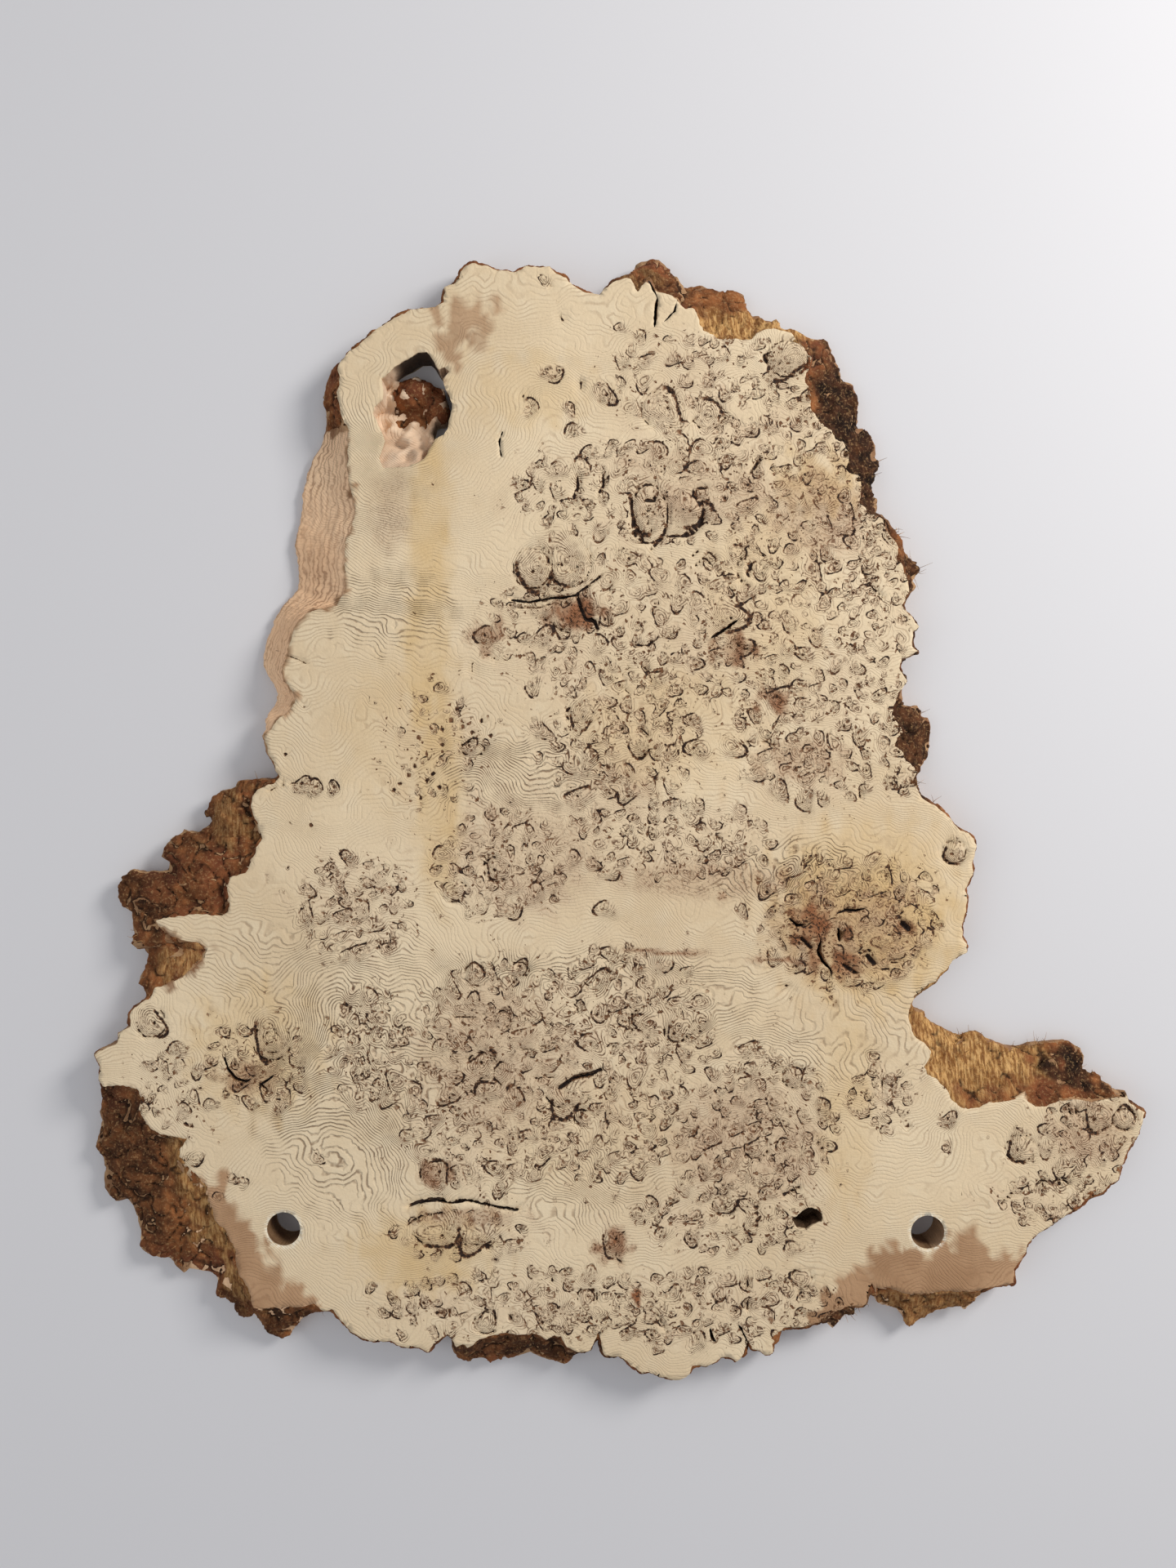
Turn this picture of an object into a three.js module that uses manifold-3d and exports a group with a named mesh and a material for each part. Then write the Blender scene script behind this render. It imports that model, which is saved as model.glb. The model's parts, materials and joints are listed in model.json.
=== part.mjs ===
// A slab sawn from an oak burl, with its live edge of bark left on, lying on its sawn back.
// Millimetres, +Z up, the back on Z = 0 and the middle of the slab over the origin.
import * as THREE from 'three';
import { mergeVertices } from 'three/addons/utils/BufferGeometryUtils.js';
import Module from 'manifold-3d';

const wasm = await Module();
wasm.setup();

// The scale: two holes bored by a 7/8 inch bit, which the photograph shows 41.1 pixels wide.
const DRILL_DIAMETER = 22.2;
const DRILL_WIDTH_PX = 41.1;
const MM_PER_PX = DRILL_DIAMETER / DRILL_WIDTH_PX;
const THICKNESS = 25;

// The eye stands straight in front of the sawn face, over the middle of the photograph.
const PHOTO_CENTRE_PX = [720, 960];
const READING_ORIGIN_PX = [759.5, 1004.5];
const FOCAL_LENGTH_PX = 1387;
const EYE_X = (PHOTO_CENTRE_PX[0] - READING_ORIGIN_PX[0]) * MM_PER_PX;
const EYE_Y = (READING_ORIGIN_PX[1] - PHOTO_CENTRE_PX[1]) * MM_PER_PX;
const EYE_DISTANCE = FOCAL_LENGTH_PX * MM_PER_PX;

// Every outline below is read off the sawn face, in millimetres from READING_ORIGIN_PX.
const DRILLED_HOLES = [[-222.8, -270.3], [203.3, -272.4]];
const DRILL_SIDES = 32;

// The rim runs clockwise. "edge" is what the eye sees as the outline, and "face" is where
// the flat sawn face ends, left out where the face runs to the edge.
const RIM = [
  {
    kind: 'cut',
    edge: [
      [-117.9, 343.5], [-117.2, 352.8], [-113.7, 355.3], [-109.9, 356.4], [-107.3, 360.5],
      [-106.4, 363.7], [-102.8, 367.5], [-99, 369.8], [-95.8, 370], [-93.6, 368.2], [-90, 368.4],
      [-84.9, 366.2], [-81, 364.9], [-70.1, 363.5], [-66.3, 364.9], [-63.1, 367.5], [-50.3, 367.1],
      [-46.4, 367.1], [-43.6, 363.3], [-35.5, 359.8], [-33.6, 356.6], [-27.2, 352.5], [-22, 350.2],
      [-13.7, 348.3], [-10.5, 352.5], [-7.9, 354.7], [-6, 357.6], [-2.2, 358.9],
    ],
  },
  {
    kind: 'bark',
    edge: [
      [2.6, 360], [6.2, 361.1], [8.7, 363.7], [10.6, 366.9], [13.8, 369.2], [17.7, 370.7],
      [21.5, 371.4], [25.4, 370.5], [29.2, 367.5], [32.4, 364.9], [34.4, 361.1], [37.6, 358.5],
      [40.1, 355.3], [42.4, 352.1], [46.4, 352.6], [50.7, 353.4], [54.3, 353.4], [58.6, 351.7],
      [62.9, 349.9], [67.1, 349.1], [74.3, 349.4], [77.9, 348.4], [81.4, 347], [82.6, 344.1],
      [83.1, 339.1], [85.7, 334.9], [87.1, 332.7], [91.4, 333.1], [94.6, 330.6], [100, 329.4],
      [102.9, 330.9], [105, 329.1], [106, 325.6],
    ],
    face: [
      [3, 358.6], [8.1, 357.9], [9.4, 352.8], [11, 349.2], [13.8, 354], [19, 356.6], [20.9, 352.8],
      [24.1, 348.9], [35.6, 346.4], [38.8, 341.9], [43.3, 338.9], [48.5, 338.9], [51, 335.5],
      [53.6, 324.6], [59.4, 322.6], [65, 317], [69.3, 319.4], [81.4, 317.7], [87.9, 319.1],
      [90.7, 322.7], [97.1, 324.9], [104.3, 324.6],
    ],
  },
  {
    kind: 'bark',
    edge: [
      [109.3, 324.1], [112.9, 325.1], [117.1, 323.4], [120.7, 321.3], [125.7, 319.1], [130.7, 317.7],
      [134.3, 318.4], [137.1, 316.3], [138.9, 312.7], [139.3, 309.1], [142.1, 304.9], [144, 300.6],
      [145, 295.6], [146.4, 290.6], [150.7, 289.4], [153.6, 287.7], [155.4, 283.4], [156.9, 279.1],
      [156.4, 272], [157.1, 265.6], [155.4, 259.1], [161.4, 258.4], [164.3, 255.6], [167.1, 250.6],
      [168.6, 244.9], [168.1, 239.9], [171.4, 237], [170.3, 234.1], [167.9, 231.3], [167.1, 227],
      [165, 219.1], [166.4, 215.6], [169.3, 212.7], [169.7, 207.7], [168.6, 202.7],
    ],
    face: [
      [109.6, 323], [112.9, 322], [117.1, 317], [121.4, 312.7], [125, 309.1], [126.9, 305.6],
      [125.7, 301.3], [123.6, 297.7], [121, 293], [124.3, 286.3], [127.1, 279.1], [125.7, 273.4],
      [128.6, 268.4], [133.6, 260.6], [138.6, 259.9], [141.4, 256.3], [142.1, 252], [147.1, 250.3],
      [150, 244.9], [152.1, 239.9], [150, 236.3], [148.9, 231.3], [152.1, 229.1], [157.9, 228.4],
      [159.7, 222.7], [159.3, 215.6], [157.9, 210.6], [161.4, 207.7], [163.1, 203.2],
    ],
  },
  {
    kind: 'bark',
    edge: [
      [172.9, 202], [177.1, 198.4], [180.7, 192.7], [184.3, 187.7], [186.4, 182], [187.9, 177],
      [190.7, 174.1], [193.6, 171.3], [196.4, 169.1], [196.9, 164.9], [195, 161.3], [192.9, 158.4],
      [195, 154.9], [191.8, 150.2],
    ],
    face: [
      [169.3, 201.3], [173.6, 199.9], [174.3, 195.6], [177.1, 189.1], [180.7, 186.3], [184.3, 180.6],
      [182.9, 174.9], [185, 172], [187.1, 166.3], [189.3, 160.6], [190.6, 151],
    ],
  },
  {
    kind: 'cut',
    edge: [
      [187.9, 142.1], [190, 138.6], [193.6, 135.4], [195.7, 131.4], [198, 128.2], [194.5, 124.3],
      [193.6, 115.4], [198, 112.1], [192.7, 108.2], [186.8, 106.4], [185.5, 101.1], [188.2, 96.6],
      [190.9, 92.5], [188.2, 88.6],
    ],
  },
  {
    kind: 'bark',
    edge: [
      [185.5, 85], [186.4, 80.5], [187.3, 76.1], [191.8, 75.2], [196.3, 76.1], [198.9, 72.5],
      [198.9, 68.6], [203.4, 68], [205.2, 62.7], [204.3, 55.5], [203.9, 47.5], [202.5, 41.3],
      [199.8, 36.8], [197.1, 31.8],
    ],
    face: [
      [184.2, 84.4], [182.9, 81.4], [180.2, 74.3], [181.1, 68], [187.3, 59.1], [182.9, 54.6],
      [180.4, 50], [187.3, 45.7], [187.3, 41.3], [193.6, 36.8], [196, 32.4],
    ],
  },
  {
    kind: 'cut',
    edge: [
      [195.4, 27.9], [197.5, 19.8], [199.8, 16.3], [205.2, 12.7], [211.4, 9.1], [216.8, 3.8],
      [221.3, -1.6], [225.7, -5.7], [231.1, -7.9], [234.3, -11.4], [236.1, -16.8], [235.5, -22.1],
      [233.8, -29.3], [234.6, -34.6], [231.1, -40], [229.3, -45.4], [230.7, -52.5], [229.6, -59.6],
      [227.5, -68.6], [227.1, -76.6], [230.2, -81.1], [230.2, -87.3], [225.7, -90], [220.4, -93.6],
      [216.8, -98.9], [212.3, -102.5], [209.6, -107], [202.5, -111.4], [195.3, -117],
    ],
  },
  {
    kind: 'bark',
    edge: [
      [192.2, -122.5], [195.3, -125.6], [200.8, -126.4], [201.6, -131.1], [206.3, -134.2],
      [212.5, -136.6], [220.3, -142], [226.6, -145.2], [229.6, -140.6], [234.4, -138.9],
      [239.1, -141.3], [242.2, -145.9], [247.7, -146.7], [251.6, -148.3], [259.4, -150.9],
      [266.4, -149.8], [271.9, -147.5], [279.7, -147.2], [285.9, -146.7], [293, -145.2],
      [297.7, -147.2], [303.9, -150.6], [306.7, -155.3], [306.3, -160.8], [303.9, -166.3],
      [309.4, -167], [315.6, -167.8], [318.8, -173.3], [325, -175.6], [326.6, -181.1],
    ],
    face: [
      [191.6, -123.6], [190.9, -128.8], [190.9, -135.8], [193.8, -141.3], [198.4, -145.9],
      [203.9, -149.8], [206.6, -154.5], [202.3, -159.2], [200.8, -164.7], [204.7, -169.4],
      [210.2, -172.5], [216.4, -178], [217.2, -183.4], [225.8, -190.5], [234.4, -191.3],
      [240.6, -187.8], [250, -187.3], [257.8, -185.3], [266.4, -182.2], [271.1, -189.4],
      [279.7, -189.7], [288, -186.6], [296.9, -184.2], [304, -185.4], [312.5, -185.8],
      [320, -184.6], [325, -183.6],
    ],
  },
  {
    kind: 'cut',
    edge: [
      [333.6, -181.9], [335.2, -179.5], [337.5, -185], [342.2, -188.9], [347.2, -192.8],
      [345.6, -200.6], [343.8, -207.7], [339.8, -213.1], [335.9, -219.4], [333.6, -226.4],
      [331.3, -233.4], [329.7, -238.1], [323.4, -242.8], [319.5, -247.5], [310.9, -249.1],
      [303.9, -256.1], [291.4, -264.7], [275, -275.6], [270.3, -281.1], [269.5, -285.8],
      [264.8, -292], [261.3, -296.7], [261.3, -306.9], [256.3, -308.1], [246.1, -310],
    ],
  },
  {
    kind: 'bark',
    edge: [
      [239.8, -311.9], [235.2, -315.5], [231.3, -320.2], [228.1, -322.8], [223.4, -320.9],
      [214.1, -322.2], [207.8, -324.1], [201.6, -328], [195.3, -331.1], [191.4, -334.7],
      [188.3, -331.9], [186.7, -327.2], [183.6, -323.3], [176.6, -320.9], [169.5, -318.6],
    ],
    face: [
      [239, -310.6], [229.7, -311.4], [212.5, -311.4], [204.7, -312.3], [196.9, -313.4],
      [187.5, -313.1], [181.3, -310], [173.4, -308.1], [169.2, -308.6],
    ],
  },
  {
    kind: 'cut',
    edge: [
      [168, -314.7], [166.4, -306.9], [164.8, -314.7], [163.6, -321], [157.8, -322.8],
      [153.1, -322.1],
    ],
  },
  {
    kind: 'bark',
    edge: [
      [154.4, -326.8], [148.6, -326.5], [145.4, -329.7], [140.3, -335.4], [136.4, -331],
    ],
    face: [[152.4, -321.4], [147.4, -321.6], [141.6, -325.4], [136.2, -329.4]],
  },
  {
    kind: 'cut',
    edge: [
      [130, -333.6], [123.6, -335.9], [108.2, -336.8], [105.6, -338.7], [104.4, -342.6],
      [101.2, -346.4], [102.2, -352.2], [98.6, -354.7], [95, -354.6], [91.5, -351.3], [86.6, -350.4],
      [83.9, -344.6], [83.6, -352.8], [80.6, -356], [76.8, -358.6], [72.9, -356.7], [66.6, -355.6],
      [64, -359.2], [56.9, -361.8], [48.6, -361.8], [46.7, -366.9], [41.5, -370.1], [33.8, -370.8],
      [26.2, -369.5], [18.5, -365.6], [14, -366.9], [9.5, -363.1], [4.4, -359.9], [-0.8, -355.4],
      [-10.4, -355.1], [-12.3, -352.2], [-13.6, -345.6], [-14.6, -339.6], [-16.4, -345.4],
      [-19.3, -350.7], [-24.3, -352.9],
    ],
  },
  {
    kind: 'bark',
    edge: [
      [-30, -352.6], [-33.6, -357.1], [-37.1, -359.3], [-45.7, -357.1], [-51.4, -355],
      [-60, -350.7], [-70, -354.3], [-77.1, -355], [-86, -357.9], [-90.7, -355], [-96.4, -355],
      [-100, -357.9], [-107.9, -354.3], [-110.7, -350],
    ],
    face: [
      [-30.4, -351.2], [-35.7, -347.9], [-38.6, -341.4], [-42.9, -340], [-48.6, -342.9],
      [-54.3, -340], [-65.7, -340], [-75.7, -338.6], [-81.4, -340], [-95.7, -344.3],
      [-100.7, -349.3], [-103.6, -345.7], [-108.6, -348.4],
    ],
  },
  {
    kind: 'cut',
    edge: [
      [-112.1, -342.9], [-114, -340.7], [-117.1, -342.9], [-123.6, -348.3], [-127.1, -352.6],
      [-132.9, -349.3], [-141.4, -350], [-147.1, -347.9], [-152.1, -345.4], [-164.3, -346],
      [-170, -344.3], [-175, -341.4], [-180, -337.1], [-187.9, -329.3], [-191.4, -324.3],
      [-196.4, -325.4],
    ],
  },
  {
    kind: 'bark',
    edge: [
      [-206.4, -325.7], [-210, -328.6], [-212.9, -332.1], [-216.4, -335.7], [-218.6, -340],
      [-222.9, -342.1], [-230.3, -338.4], [-235.2, -334.3], [-238.5, -330.2], [-241.8, -326],
      [-249.2, -328.5], [-253.3, -322.8], [-255.7, -317], [-260.7, -315.4], [-267.2, -313],
      [-265.6, -307.2], [-266, -300.7], [-271.3, -298.5], [-279.5, -296.9], [-285.2, -295.7],
      [-288.5, -298.5], [-293.4, -294.9], [-297.5, -288.4], [-305.7, -289.2], [-313.1, -286.7],
      [-317.2, -281.8], [-316.4, -273.6], [-318, -267], [-319.7, -260.5], [-323, -255.6],
      [-327, -249.8], [-333.6, -251.5], [-337.7, -248.2], [-340.2, -242.5], [-341.5, -235.9],
      [-340.2, -229.3], [-341.8, -222.8], [-346.7, -215.4], [-344.8, -206.4], [-342.6, -198.2],
      [-343.8, -192.5], [-341.8, -185.1], [-342.6, -180.2],
    ],
    face: [
      [-202.5, -319.5], [-215.6, -322], [-225.4, -321.1], [-235.2, -323.6], [-244.6, -321.1],
      [-244.3, -314.6], [-247.5, -306.4], [-252.5, -301.5], [-254.9, -291.6], [-254.1, -284.3],
      [-258.2, -278.5], [-260.7, -271.1], [-267.2, -267], [-269.7, -258.9], [-272.1, -249.8],
      [-273, -242.5], [-279.5, -234.3], [-290.2, -224.4], [-293, -219.5], [-289.3, -213.8],
      [-284.4, -210], [-292.6, -209.3], [-300, -208.4], [-305.7, -205.6], [-311.5, -201.5],
      [-317.2, -194.9], [-318.9, -188.4], [-315.6, -185.1], [-320.5, -176.9], [-333.6, -174.9],
      [-340.6, -176.4],
    ],
  },
  {
    kind: 'cut',
    edge: [
      [-343.4, -176.1], [-345.4, -173.6], [-345.9, -167.9], [-345.1, -163.8], [-348.7, -154.8],
      [-345.1, -151.5], [-333.6, -146.6], [-332.8, -140.8], [-325.4, -135.9], [-325.1, -128.5],
      [-323, -123.6], [-318, -120.3],
    ],
  },
  {
    kind: 'rind',
    edge: [
      [-313.9, -117.9], [-313.6, -110.5], [-318.9, -108], [-317.2, -103.1], [-313.6, -97],
      [-312, -88.5], [-314.8, -83.9], [-319.4, -85.2], [-324.1, -81.5], [-321.3, -75.6],
      [-322.6, -68.1],
    ],
    face: [
      [-312.6, -117.9], [-311.8, -112], [-304, -109.6], [-294, -107], [-285, -100], [-277.8, -94],
      [-272.4, -88], [-278.7, -80.2], [-288.9, -79.3], [-298.1, -75.6], [-304, -70],
    ],
  },
  {
    kind: 'ledge',
    edge: [
      [-323.1, -60.7], [-328.7, -56.7], [-332, -50.6], [-331.9, -43.1], [-328.7, -36.7],
      [-322.2, -32.6], [-315.7, -34.4], [-307.4, -33.9], [-298.5, -33], [-298.1, -27.4],
      [-302.8, -23.7], [-301.9, -18.1], [-297.2, -12.6], [-291.7, -9.3], [-288.5, -5.2],
      [-284.3, -8], [-278.7, -9.3], [-275.9, -6.1], [-270.4, -2.4], [-269.4, 5], [-272.2, 10.6],
      [-269.4, 15.6], [-263, 19.8], [-255.6, 21.7], [-251.9, 26.3], [-244.4, 26.7], [-237, 27.8],
      [-230.6, 27.2],
    ],
    face: [
      [-308, -65.4], [-300, -62.6], [-292.6, -61.7], [-281.5, -60.4], [-270.4, -61.7],
      [-261.1, -62.6], [-258, -59.8], [-259.3, -50.6], [-260.2, -42.2], [-257.4, -37.6],
      [-250.9, -35.7], [-246.3, -33.9], [-243.5, -26.5], [-240.7, -19.1], [-236.7, -10.7],
      [-238.9, -2.4], [-242.6, 3.1], [-244.8, 9.6], [-244.4, 14.3], [-240.7, 19.8],
      [-235.2, 23.5], [-228.7, 24.5],
    ],
  },
  {
    kind: 'cut',
    edge: [[-225.9, 29.4], [-228.7, 32.8], [-230.6, 38.3], [-234.3, 43.9], [-235.6, 51.3]],
  },
  {
    kind: 'bare',
    edge: [
      [-236.7, 55.9], [-234.8, 60.6], [-234.3, 67], [-231.5, 72.6], [-226.9, 79.1], [-225.9, 83.7],
      [-228.7, 90.2], [-232.4, 95.7], [-235.2, 100.4], [-236.7, 107.8], [-234.8, 115.2],
      [-231.5, 124.4], [-227.8, 133.7], [-223.1, 142], [-217.6, 147.6], [-213.3, 154.1],
      [-212, 161.5], [-213.9, 170.7], [-215.3, 183], [-213.8, 190.8], [-210.3, 202],
      [-210.6, 215.8], [-206.9, 223.9], [-206.3, 229.5], [-202.5, 240], [-196.9, 249.5],
      [-194.1, 260.8],
    ],
    face: [
      [-235.4, 57], [-231.5, 59.6], [-226.9, 67], [-220.4, 70.7], [-214.4, 78.1], [-215.7, 85.6],
      [-222.2, 91.1], [-224.1, 98.5], [-220.4, 109.6], [-217.6, 120.7], [-213, 131.9],
      [-205.6, 137.4], [-196.3, 140.2], [-187, 142], [-182, 152], [-182, 184.5], [-177.5, 193.3],
      [-174.2, 203.9], [-177.5, 214.5], [-180, 230.8], [-180, 240.8], [-180, 258],
    ],
  },
  {
    kind: 'bare',
    edge: [[-194, 267], [-196, 279.5], [-194.8, 287], [-190.6, 298]],
    face: [[-184.6, 268], [-187.5, 284.5], [-185.6, 292], [-187, 297.6]],
  },
  {
    kind: 'cut',
    edge: [
      [-188, 302], [-180, 310.5], [-170, 318.3], [-162.5, 325.5], [-155, 330.1], [-147.5, 334.5],
      [-140, 338], [-130, 339.8], [-122, 340.8],
    ],
  },
];

// How each kind of edge falls from the face to the outline: shares of the way across, and the
// height at each share. "bulge" is how far the outline's row stands out past the face's edge.
const ROW_SHARE = [0, 0.08, 0.36, 0.68, 1];
const ROW_HEIGHT = {
  cut: [25, 23.8, 20, 16, 12],
  bark: [25, 21.5, 18, 14.5, 9],
  ledge: [25, 20, 20.5, 19.5, 12],
  rind: [25, 24, 22.5, 20.5, 13],
  bare: [25, 22.6, 17, 10.5, 5],
};
const ROUGHNESS = { cut: 0.4, bark: 2, ledge: 1.8, rind: 1, bare: 0.5 };
const CUT_LIP = 1.1;
const CUT_BULGE = 0.75;
const OUTLINE_CALM = 0.6;
const SAW_CLEARANCE = 0.4;
const STEEPEST_STRIP = 14;
const SHALLOWEST_DROP = 0.35;
const LONGEST_STEP = 7.5;
const BACK_INSET = 3;
const BACK_SMOOTHING = 2;
const UNDER_HEIGHT = 3.5;

// The hollow near the top left, a scoop that runs down to a lump of inner bark with a gap round it.
const HOLLOW_RIM = [
  [-158.1, 292.6], [-155, 294.5], [-152.5, 297], [-150, 300.1], [-145, 303.3], [-136.9, 307.6],
  [-133.8, 309.5], [-128.1, 309.8], [-125, 306.4], [-122.5, 302], [-120, 298.6], [-116.3, 300.1],
  [-113.4, 297], [-117.5, 292], [-115.6, 285.8], [-113.1, 281.4], [-111.3, 275.8], [-112.5, 268.3],
  [-114.4, 258.3], [-116.9, 255.1], [-122.5, 252.6], [-126.3, 245.8], [-130, 239.5], [-135, 236.4],
  [-141.3, 233.9], [-156.9, 233.3], [-159.8, 239.5], [-157.5, 245.8], [-155.6, 250.8],
  [-159.4, 260.8], [-164, 269.5], [-162.5, 273.9], [-157.5, 278.9], [-156.9, 285.8],
];
const HOLLOW_FLOOR = [
  [-161, 291.6], [-160, 285], [-161, 279.6], [-166, 275], [-167, 269], [-162.6, 260], [-158.8, 250.6],
  [-163, 240], [-160, 230.5], [-140, 231], [-132.6, 233.8], [-127, 238], [-123, 245],
  [-120.6, 252.4], [-124, 254.5], [-126, 260], [-124, 266.5], [-118, 267.5], [-114.8, 272],
  [-115.3, 278], [-118, 285.5], [-119.5, 291.5], [-130, 296], [-137, 299], [-144, 299.5],
  [-150, 297.5], [-155, 296.6],
];
const SCOOP_TOP_Y = 233;
const SCOOP_FALL = 0.46;
const SCOOP_DEEPEST = 4;
const BARK_LUMPS = [
  { centre: [-139, 287], radii: [16, 12], top: 15 },
  { centre: [-123, 277], radii: [10, 13], top: 16 },
  { centre: [-152, 286], radii: [9, 8], top: 10 },
];
const FLOOR_GRID = 3.5;
const FLOOR_ROUGHNESS = 0.6;

// A two-lobed knot hole, blind, near the lower right.
const KNOT_HOLE = [
  [117.5, -260.5], [120, -258], [124, -256.3], [127, -256], [130, -257.5], [133.5, -260],
  [134.2, -263], [133.5, -265.5], [130, -265.5], [126.5, -268], [123, -270.8], [119, -270],
  [116, -269], [113, -265], [114, -262.5], [117, -262],
];
const KNOT_HOLE_DEPTH = 16;
const KNOT_HOLE_TAPER = 0.72;

// Cracks in the face and crevices between the bark's ledges: a centre line, a width and a depth.
const CRACKS = [
  { line: [[19, 357.6], [20.9, 352.8], [24.4, 345.7], [23.5, 338.7], [22.7, 326.5]], width: 2.4, depth: 11 },
  { line: [[37.6, 344], [36, 337], [29, 330]], width: 1.6, depth: 6 },
  { line: [[-78, 257], [-80, 251], [-79.6, 245], [-78.4, 240]], width: 1.6, depth: 6 },
  { line: [[-140, -256], [-131, -252.6], [-122, -251.6], [-111, -253], [-100, -252], [-89, -254.6]], width: 2, depth: 5 },
  { line: [[-86, -254.8], [-78, -256.4], [-68, -258.4]], width: 1.4, depth: 4 },
  { line: [[-262, -157], [-259.4, -165], [-254.4, -171.4], [-248, -173], [-243, -170]], width: 2.8, depth: 6 },
  { line: [[-241, -176.4], [-235, -173], [-229, -168.4]], width: 2.2, depth: 5 },
  { line: [[-72, 146], [-60, 144.6], [-48, 147], [-39, 147.4], [-30, 149], [-22, 155.4], [-14, 161.4]], width: 1.5, depth: 4 },
  { line: [[-28, 144.6], [-26, 140], [-24.6, 136.4], [-22, 133.4], [-19, 134], [-16.4, 131], [-15, 127]], width: 2.2, depth: 5 },
  { line: [[60.4, 121], [66, 124.4], [72, 128.6], [78, 133]], width: 2.3, depth: 6 },
  { line: [[-41, -177.6], [-35, -173], [-30, -170.6], [-24, -169.4], [-19, -168.4], [-13, -165]], width: 2.4, depth: 5 },
  { line: [[112, -65], [117, -69.6], [123, -69]], width: 4.4, depth: 7 },
  { line: [[131, -75], [132.6, -80], [131.4, -87], [134, -93], [139, -99], [140, -106]], width: 3.2, depth: 7 },
  { line: [[143, -61.6], [149, -59.4], [156, -59.8], [163, -57.4]], width: 3, depth: 6 },
  { line: [[144, -71], [145.6, -75], [145, -80]], width: 6, depth: 8 },
  { line: [[63, -345], [60.4, -342], [59.4, -336]], width: 1.8, depth: 8 },
  { line: [[84.4, -346], [81, -338], [78, -333.6]], width: 1.6, depth: 8 },
  { line: [[-274, -6], [-266, 0], [-256, 0], [-248, -4]], width: 4, depth: 11 },
  { line: [[-305, -29], [-293, -38], [-283, -42], [-268, -39]], width: 4.4, depth: 12 },
  { line: [[-328, -59], [-310, -65], [-300, -62.6], [-281, -60.6], [-263, -62.4]], width: 3.4, depth: 13 },
  { line: [[-268, -30], [-256, -22], [-246, -24]], width: 4, depth: 8 },
  { line: [[293, -148], [291, -162], [294, -176], [288, -184]], width: 4, depth: 10 },
  { line: [[226, -146], [238, -158], [254, -166], [274, -172]], width: 5, depth: 9 },
  { line: [[-300, -222], [-288, -238], [-276, -252]], width: 4, depth: 7 },
  { line: [[-289, -300], [-285, -288], [-281, -281]], width: 7, depth: 12 },
  { line: [[128, 290], [142, 284], [155, 283]], width: 4, depth: 9 },
];
const CRACK_CLEARANCE = 2;

// A repeatable number between -1 and 1 for a pair of whole numbers.
function rough(a, b) {
  const wave = Math.sin(a * 12.9898 + b * 78.233) * 43758.5453;
  return 2 * (wave - Math.floor(wave)) - 1;
}

function distance(a, b) {
  return Math.hypot(a[0] - b[0], a[1] - b[1]);
}

function between(a, b, share) {
  return [a[0] + (b[0] - a[0]) * share, a[1] + (b[1] - a[1]) * share];
}

// Lengths along a line of points, as shares of the whole.
function shares(points) {
  const sums = [0];
  for (let i = 1; i < points.length; i += 1) {
    sums.push(sums[i - 1] + distance(points[i - 1], points[i]));
  }
  return sums.map((sum) => sum / sums[sums.length - 1]);
}

function pointAt(points, marks, share) {
  let i = 1;
  while (i < points.length - 1 && marks[i] < share) {
    i += 1;
  }
  const step = (share - marks[i - 1]) / (marks[i] - marks[i - 1]);
  return between(points[i - 1], points[i], THREE.MathUtils.clamp(step, 0, 1));
}

// The same line with a point added wherever two of its points lie far apart.
function refined(points) {
  const result = [points[0]];
  for (let i = 1; i < points.length; i += 1) {
    const pieces = Math.ceil(distance(points[i - 1], points[i]) / LONGEST_STEP);
    for (let k = 1; k <= pieces; k += 1) {
      result.push(between(points[i - 1], points[i], k / pieces));
    }
  }
  return result;
}

// Moves a closed clockwise line inward, or outward where the distance is negative.
function inset(points, amount) {
  return points.map((point, i) => {
    const last = points[(i + points.length - 1) % points.length];
    const next = points[(i + 1) % points.length];
    const run = Math.max(distance(last, next), 1e-6);
    return [
      point[0] + ((next[1] - last[1]) / run) * amount,
      point[1] - ((next[0] - last[0]) / run) * amount,
    ];
  });
}

function smoothed(points, reach) {
  return points.map((_, i) => {
    const sum = [0, 0];
    for (let k = -reach; k <= reach; k += 1) {
      const near = points[(i + k + points.length) % points.length];
      sum[0] += near[0];
      sum[1] += near[1];
    }
    return [sum[0] / (2 * reach + 1), sum[1] / (2 * reach + 1)];
  });
}

// Where a thing read off the face really lies when it is lower than the face.
function behindReading(point, height, amount = 1) {
  const scale = 1 + (amount * (THICKNESS - height)) / EYE_DISTANCE;
  return [EYE_X + (point[0] - EYE_X) * scale, EYE_Y + (point[1] - EYE_Y) * scale];
}

// The whole rim as matching points: the outline, the edge of the face, and the kind of edge.
function rimPoints() {
  const rim = [];
  for (const stretch of RIM) {
    const edge = refined(stretch.edge);
    const marks = shares(edge);
    const faceMarks = stretch.face && shares(stretch.face);
    edge.forEach((point, i) => {
      const face = stretch.face ? pointAt(stretch.face, faceMarks, marks[i]) : null;
      rim.push({ edge: point, face, kind: stretch.kind });
    });
  }
  const lip = inset(rim.map((item) => item.edge), CUT_LIP);
  rim.forEach((item, i) => {
    item.face = item.face ?? lip[i];
  });
  return rim;
}

// A narrow strip of bark falls less than a wide one.
function dropShare(item) {
  if (item.kind === 'cut') {
    return 1;
  }
  const width = distance(item.face, item.edge);
  return THREE.MathUtils.clamp(width / STEEPEST_STRIP, SHALLOWEST_DROP, 1);
}

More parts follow.
